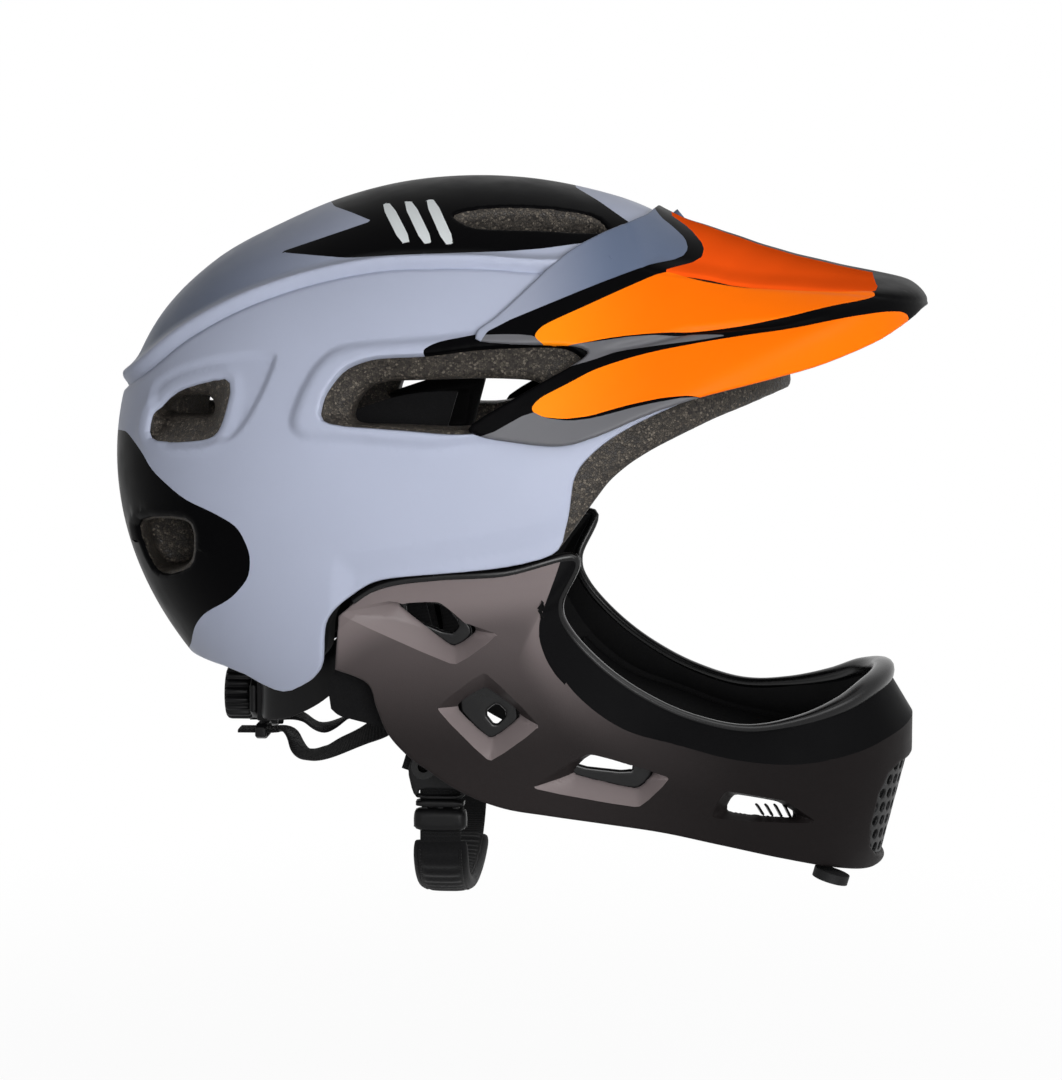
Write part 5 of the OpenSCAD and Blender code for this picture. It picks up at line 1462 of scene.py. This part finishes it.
def build_straps():
    """The straps above the dividers: each has the points that it passes, its direction across at each of them
    and its width."""
    thick = sizes().web_thickness * 1000
    routes = {
        "front_strap": ([[EYELET_X - 1.2, HANG_Y - 3, EYELET_Z - 3.7], [EYELET_X + 6, HANG_Y - 2.4, -118],
                         [9, 67.5, -95], [20, 69.5, -73], [27, on_foam(28, -58) - 0.6, -59],
                         [29, on_foam(29, -50), -50], [30, on_foam(30, -42), -42]],
                        [[1, 0, 0.35]] * 7, 16.0),
        "rear_strap": ([[EYELET_X + 0.8, 62.8, EYELET_Z - 4], [EYELET_X + 2, 63.2, -121], [-8, 65.6, -98],
                        [-13, 69, -76], [-15, on_foam(-15, -60) - 0.8, -60], [-15.5, on_foam(-15, -51), -51],
                        [-15.5, on_foam(-15, -43), -43]],
                       [[1, 0, -0.2]] * 7, 12.0),
        "nape_strap": ([[-27.5, on_foam(-29, -45), -45], [-27.5, on_foam(-29, -53), -53],
                        [-27.3, on_foam(-29, -63) - 0.8, -63], [-26, 69, -82], [-22, 66.6, -100],
                        [-19.5, 65, -110], [-23.5, 62, -119], [-33, 57, -125.5], [-43.5, 51, -131.2],
                        [-53, 41, -135.6], [-61, 28, -136.6], [-68.6, 16.4, -131.3], [-76, 15.5, -131],
                        [-88, 15.5, -131]],
                       [[1, 0, 0], [1, 0, 0], [1, 0, 0], [1, 0, 0], [1, 0, 0.1], [0.9, 0.3, -0.1],
                        [0.6, 0.7, -0.4], [0.2, 1, -0.4], [0.1, 1, -0.3], [0, 1, -0.1], [0, 1, 0], [0, 1, 0],
                        [0, 1, 0], [0, 1, 0]], 12.0),
    }
    for name, (route, across, wide) in routes.items():
        left = sweep(curve(route, 9), curve(across, 9), section(wide, thick, 24, 8))
        for side, strap in (("left", left), ("right", flipped(left))):
            add(f"{name}_{side}_webbing", "helmet", [f"{name}_{side}"], strap, "webbing", sharp=50)


def build_chin_strap():
    web = section(15.6, sizes().web_thickness * 1000, 24, 8)
    drop = np.array([[HANG_X, STRAP_Y, z] for z in np.linspace(STRAP_TOP, HANG_TURN, 12)])
    loop = hang(np.linspace(89.5, -89.5, 90))
    end = np.array([[HANG_X, -STRAP_Y, z] for z in np.linspace(HANG_TURN + 1, BUCKLE_Z - 5.2, 5)])
    path = np.concatenate([drop[:-1], loop, end])
    strap = add("long_chin_strap_webbing", None, ["long_chin_strap"],
                sweep(path, along_x(path), web), "webbing", sharp=50)
    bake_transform(strap)
    path = np.array([[HANG_X, -STRAP_Y, z] for z in np.linspace(BUCKLE_Z + 5, STRAP_TOP, 8)])
    add("short_chin_strap_webbing", "chin_hanger", ["short_chin_strap"],
        sweep(path, along_x(path), web), "webbing", sharp=50)


def build_chin_pad():
    """The padded sleeve: ribs across it, a bound border along both edges and a cord sewn on each border."""
    wide, high, border = 21, 7.4, 7.8
    path = hang(np.linspace(-89, 38, 170))
    run = np.concatenate([[0], np.cumsum(np.linalg.norm(np.diff(path, axis=0), axis=1))])
    end = np.minimum(run, run[-1] - run)
    taper = np.sqrt(np.clip(1 - (1 - np.clip(end / 7, 0, 1)) ** 2, 0, 1))
    shape = np.repeat(section(wide, high, 44, 3.2)[None], len(path), 0)
    side = np.abs(shape[:, :, 0]) / (wide / 2)
    ribs = 0.5 - 0.5 * np.cos(2 * math.pi * run / 5.2)
    flat = 1 - ramp(side, 0.62, 0.72)
    pressed = 1 - 0.16 * (1 - ribs)[:, None] * flat - 0.28 * bell(side - 0.74, 0.05)
    shape[:, :, 1] *= (0.42 + 0.58 * taper)[:, None] * pressed
    shape[:, :, 0] *= (0.9 + 0.1 * taper)[:, None]
    pad = add("chin_pad_cloth", "chin_loop", ["chin_pad"], sweep(path, along_x(path), shape), "cloth",
              sharp=60)
    cords = []
    for k in (-1, 1):
        edge = path[6:-6].copy()
        edge[:, 0] += k * border
        out = np.cross(np.gradient(edge, axis=0), [1.0, 0, 0])
        out /= np.linalg.norm(out, axis=1, keepdims=True)
        cords += [sweep(edge + out * sign * 2.75, along_x(edge), section(0.9, 0.7, 8, 2)) for sign in (-1, 1)]
    add("chin_pad_stitch_cord", "chin_loop", [], join(*cords), "webbing", sharp=60)


def build_dividers():
    def at_side(sign):
        return lambda u, v, w: np.stack([HANG_X + u, sign * HANG_Y + w, v + EYELET_Z - 5], 1)

    outline = [[-8.4, -7.6], [-10.4, -5], [-12.2, 3], [-11, 8], [-7.5, 10.4], [-2.5, 9.6], [1, 6.5],
               [9.4, -0.5], [10.4, -5], [8.4, -7.6]]
    ring = np.linspace(0, 2 * math.pi, 17)[:-1]
    eyelet = np.stack([EYELET_X - HANG_X + 3.8 * np.cos(ring), 5 + 3.8 * np.sin(ring)], 1)
    slot = rectangle(-8.0, -6.1, 8.0, -3.7)
    for side, sign in (("left", 1), ("right", -1)):
        plate = pillow(outline, [eyelet, slot], 2.4, 0.9, at_side(sign), 1.0, 1)
        add(f"strap_divider_{side}_moulded", "chin_hanger", [f"strap_divider_{side}"], plate,
            "fitting")


def build_buckle():
    def at_buckle(dz):
        return lambda u, v, w: np.stack([HANG_X + u, -STRAP_Y + w, BUCKLE_Z + dz + v], 1)

    socket = pillow([[-10, -4.6], [10, -4.6], [10.2, 1], [9.4, 4.6], [-9.4, 4.6], [-10.2, 1]], [], 8.6, 3.0,
                    at_buckle(-1.6), 0.9, 2)
    add("buckle_socket_moulded", "chin_loop", ["buckle_socket"], socket, "fitting")
    collar = pillow(rectangle(-9.2, 3.3, 9.2, 6.2), [], 7.0, 1.2, at_buckle(0), 0.8, 1)
    prongs = [pillow(rectangle(x, -3.2, x + 2.8, 4), [], 3.8, 0.5, at_buckle(0), 0.8, 1)
              for x in (-7.3, -1.4, 4.5)]
    add("buckle_plug_moulded", "chin_hanger", ["buckle_plug"], join(collar, *prongs), "fitting")


def upright(x):
    """Lays a plate out across the helmet at x."""
    return lambda u, v, w: np.stack([x + w, u, v], 1)


def build_cradle():
    def round_back(radius):
        def place(u, v, w):
            return np.stack([-(radius + w) * np.cos(u / radius), (radius + w) * np.sin(u / radius), v], 1)
        return place

    holes = [rectangle(y - 3.5, -124.5, y + 3.5, -121.5) for y in (-13, 0, 13)]
    outline = [[-20, -127], [-17, -129], [17, -129], [20, -127], [20, -110], [17, -108], [-17, -108],
               [-20, -110]]
    cradle = pillow(outline, holes, 2.2, 0.7, round_back(73.35), 1.1, 1)
    add("cradle_moulded", "cradle_assembly", ["cradle"], cradle, "fitting")
    cushion = pillow(rectangle(-18.6, -127.6, 18.6, -109.4), [], 4.2, 1.9, round_back(69.6), 1.1, 2)
    pad = add("cradle_pad_cloth", "cradle_assembly", ["cradle_pad"], cushion, "cloth", sharp=60)


def build_dial_case():
    outline = rectangle(-17.4, -127.3, 17.4, -109.7)
    back = pillow(outline, [], 3.0, 1.2, upright(-82.4), 0.9, 1)
    walls = pillow(outline, [rectangle(-15, -125.2, 15, -111.8)], 6.0, 0.8, upright(-77.9), 0.9, 0)
    add("dial_case_moulded", "cradle_assembly", ["dial_case"], join(back, walls), "fitting")
    guides = [pillow(rectangle(s * 7.6, -134, s * 23.8, -127.9),
                     [rectangle(s * 9.2, -132.8, s * 22.2, -129.2)], 4.6, 0.9, upright(-78.5), 0.6, 1)
              for s in (-1, 1)]
    add("strap_guides_moulded", "cradle_assembly", ["strap_guides"], join(*guides), "fitting")


def build_dial():
    def on_dial(x, y, z):
        return np.stack([-84.6 - z, y, DIAL_Z + x], 1)

    profile = [(2.0, -5.6), (2.0, 0.0), (9.6, 0.0), (10.5, 0.4), (11.0, 1.2), (11.0, 8.6), (10.7, 9.8),
               (9.9, 10.5), (8.4, 10.7), (7.4, 10.5), (7.1, 9.6), (6.6, 9.2), (2.5, 9.1), (0.6, 9.1)]
    knob = spin(profile, on_dial, 216, sizes().ribs, 0.11)
    add("dial_knob_moulded", "dial", ["dial_knob"], knob, "fitting", sharp=35)


def build_bands():
    """Each band with the eye at its pivot and the rack in the dial's case; the racks lie above and below."""
    route = [PIVOT, [41, 68.8, -18.4], [31, 70.8, -23], [8, 72.5, -36], [-16, 70, -54], [-34, 60, -77],
             [-43, 42, -97], [-54, 38, -109], [-66, 33.5, -116], [-75, 27, DIAL_Z], [-78, 19, DIAL_Z]]
    path = curve(route, 9)
    strip = sweep(path, np.tile([0, 0, 1.0], (len(path), 1)), section(13.8, 1.7, 24, 6))

    def at_pivot(x, y, z):
        return np.stack([PIVOT[0] + x, PIVOT[1] + y, PIVOT[2] + z], 1)

    def at_rack(u, v, w):
        return np.stack([-78.0 + w, u, DIAL_Z + v], 1)

    eye = spin([(2.1, -6.9), (3.6, -6.9), (3.95, -6.5), (3.95, 6.5), (3.6, 6.9), (2.1, 6.9)], at_pivot, 48)
    for side, z in (("left", 3.15), ("right", -3.15)):
        rack = pillow(rectangle(-4.4, z - 0.85, 19.4, z + 0.85), [], 1.7, 0.4, at_rack, 0.9, 1)
        band = join(strip[:2], eye, rack)
        band = band if side == "left" else flipped(band)
        add(f"band_{side}_moulded", f"{side}_band", [f"band_{side}"], band[:2], "fitting")


# The solids that show as they are, each with its finish
CARRIED_OVER = {
    "peak_sockets": "fitting", "guard_sockets": "fitting", "band_anchors": "fitting",
    "strap_anchors": "fitting", "strap_eyelets": "gloss", "guard_tongues": "fitting", "guard_screws": "steel",
    "peak_pins": "peak_grey", "dial_pinion": "fitting", "guard_feet": "rubber",
}


def build_fixings():
    for node, name in CARRIED_OVER.items():
        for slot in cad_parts[node].material_slots:
            slot.material = finish(name)


def placed(at, right, up, back):
    """The matrix of an object at a point that looks against the direction back."""
    turn = Matrix([list(k) for k in np.stack([right, up, back], 1)]).to_4x4()
    return Matrix.Translation(list(map(float, at))) @ turn


def seen(tree):
    """1 for the rays that look at the background: straight, mirrored or let through."""
    path = put(tree, "LightPath").outputs
    two = reckon(tree, "MAXIMUM", path["Is Camera Ray"], path["Is Glossy Ray"])
    return reckon(tree, "MAXIMUM", two, path["Is Transmission Ray"])


def build_camera():
    scene = bpy.context.scene
    camera = bpy.data.objects.new("photo_camera", bpy.data.cameras.new("photo_camera"))
    scene.collection.objects.link(camera)
    camera.data.sensor_width = 36
    camera.data.lens = VIEW_LENS * 36 / VIEW_HIGH
    camera.data.clip_end = 20
    camera.matrix_world = placed((VIEW_AT + VIEW_BACK * VIEW_FAR) / 1000, VIEW_RIGHT, VIEW_UP, VIEW_BACK)
    scene.camera = camera


def build_floor():
    """A pale floor that melts into the background, far enough below for the guard to come off above it."""
    half, drop = 6, 0.3
    ground = bpy.data.meshes.new("studio_floor")
    x, y = np.meshgrid(np.linspace(-half, half, 7), np.linspace(-half, half, 7), indexing="ij")
    grid = Sheet(np.stack([x, y, 0 * x - drop], -1))
    ground.from_pydata(grid.v.tolist(), [], grid.f.tolist())
    material, tree, shader, where = start("pale studio floor", 0.9, specular=0.0)
    pale = blend_colour(tree, noise(tree, where, 3.0), (0.88, 0.88, 0.88), (0.9, 0.9, 0.9))
    tree.links.new(pale, shader.inputs["Base Color"])
    white = put(tree, "Emission", {"Color": (1, 1, 1, 1), "Strength": 1.0})
    far = put(tree, "VectorMath", {0: where}, operation="LENGTH").outputs["Value"]
    share = reckon(tree, "MULTIPLY", fade(tree, far, 0.25, 0.7, 0.95, 1.0), seen(tree))
    mix = put(tree, "MixShader", {0: share, 1: shader.outputs[0], 2: white.outputs[0]})
    tree.links.new(mix.outputs[0], tree.nodes["Material Output"].inputs[0])
    ground.materials.append(material)
    floor = bpy.data.objects.new("studio_floor", ground)
    bpy.context.scene.collection.objects.link(floor)


def build_world():
    """Soft light that is strongest at the horizon and falls off upwards, before a white background."""
    world = bpy.data.worlds.new("studio")
    world.use_nodes = True
    tree = world.node_tree
    light = tree.nodes["Background"]
    light.inputs["Color"].default_value = (0.95, 0.97, 1.0, 1)
    up = put(tree, "SeparateXYZ", {0: put(tree, "TexCoord").outputs["Generated"]}).outputs[2]
    dim = put(tree, "MapRange", {"Value": up, "From Min": -0.1, "From Max": 0.7, "To Min": 0.3,
                                 "To Max": 0.03})
    tree.links.new(dim.outputs[0], light.inputs["Strength"])
    white = put(tree, "Background", {"Color": (1, 1, 1, 1), "Strength": 1.0})
    mix = put(tree, "MixShader", {0: seen(tree), 1: light.outputs[0], 2: white.outputs[0]})
    tree.links.new(mix.outputs[0], tree.nodes["World Output"].inputs[0])
    bpy.context.scene.world = world


def build_lights():
    """Soft square lamps: where each stands, what it shines at, its size and its power."""
    for name, at, aim, size, power in (
            ("key_light", (0.6, -1.85, 0.15), (0.0, 0.0, -0.05), 1.0, 30.5),
            ("top_light", (1.3, -0.8, 0.95), (0.12, 0.0, 0.0), 1.0, 10),
            ("rear_light", (-1.5, -1.2, 0.0), (0.0, 0.0, -0.05), 0.9, 0.8)):
        lamp = bpy.data.lights.new(name, "AREA")
        lamp.shape = "SQUARE"
        lamp.size = size
        lamp.energy = power
        obj = bpy.data.objects.new(name, lamp)
        back = np.array(at) - aim
        back /= np.linalg.norm(back)
        right = np.cross([0, 0, 1.0], back)
        right /= np.linalg.norm(right)
        obj.matrix_world = placed(at, right, np.cross(back, right), back)
        bpy.context.scene.collection.objects.link(obj)


def set_view():
    bpy.context.scene.view_settings.view_transform = "Standard"


def operator(idname, label, text, *steps):
    """An operator that runs the steps of one piece or of a group of like pieces."""
    def execute(self, context):
        for step in steps:
            step()
        return {"FINISHED"}
    members = {"__doc__": text, "bl_idname": "helmet." + idname, "bl_label": label,
               "bl_options": {"REGISTER"}, "execute": execute}
    return type("HELMET_OT_" + idname, (bpy.types.Operator,), members)


OPERATORS = [
    operator("stage", "Stage", "Adds the camera, the lights and the floor", build_camera, build_floor,
             build_world, build_lights, set_view),
    operator("shell", "Outer shell", "Builds the painted shell with its vents and creases", build_shell),
    operator("liner", "Foam liner", "Builds the bead foam liner", build_liner),
    operator("peak", "Peak", "Builds the painted peak", build_peak),
    operator("guard", "Chin guard", "Builds the chin guard, its rim, frames, foam lining and grille",
             build_guard, build_vent_frames, build_guard_rim, build_guard_lining, build_grille),
    operator("pads", "Pads", "Builds the brow, crown, side and cheek pads", build_pads, build_cheek_pads),
    operator("straps", "Side straps", "Builds the webbing above the dividers", build_straps),
    operator("chin_strap", "Chin strap", "Builds the chin strap and its padded sleeve", build_chin_strap,
             build_chin_pad),
    operator("buckle", "Buckle", "Builds the strap dividers and the buckle", build_dividers, build_buckle),
    operator("retention", "Retention band", "Builds the cradle, the dial and the two bands", build_cradle,
             build_dial_case, build_dial, build_bands),
    operator("fixings", "Fixings", "Finishes the sockets, anchors, screws and feet", build_fixings),
]


class HELMET_PT_panel(bpy.types.Panel):
    """The helmet's sizes, colours and pieces"""
    bl_idname = "HELMET_PT_panel"
    bl_label = "Full-Face Helmet"
    bl_space_type = "VIEW_3D"
    bl_region_type = "UI"
    bl_category = "Helmet"

    def draw(self, context):
        layout = self.layout
        for group in (context.scene.helmet_sizes, context.scene.helmet_colours):
            box = layout.box()
            for key in type(group).__annotations__:
                box.prop(group, key)
        for op in OPERATORS:
            layout.operator(op.bl_idname)


CLASSES = [HelmetColours, HelmetSizes, HELMET_PT_panel] + OPERATORS


def register():
    for cls in CLASSES:
        bpy.utils.register_class(cls)
    bpy.types.Scene.helmet_colours = PointerProperty(type=HelmetColours)
    bpy.types.Scene.helmet_sizes = PointerProperty(type=HelmetSizes)


def unregister():
    del bpy.types.Scene.helmet_sizes
    del bpy.types.Scene.helmet_colours
    for cls in reversed(CLASSES):
        bpy.utils.unregister_class(cls)


def main():
    register()
    for op in OPERATORS:
        getattr(bpy.ops.helmet, op.bl_idname.split(".")[1])()


if __name__ == "__main__":
    main()
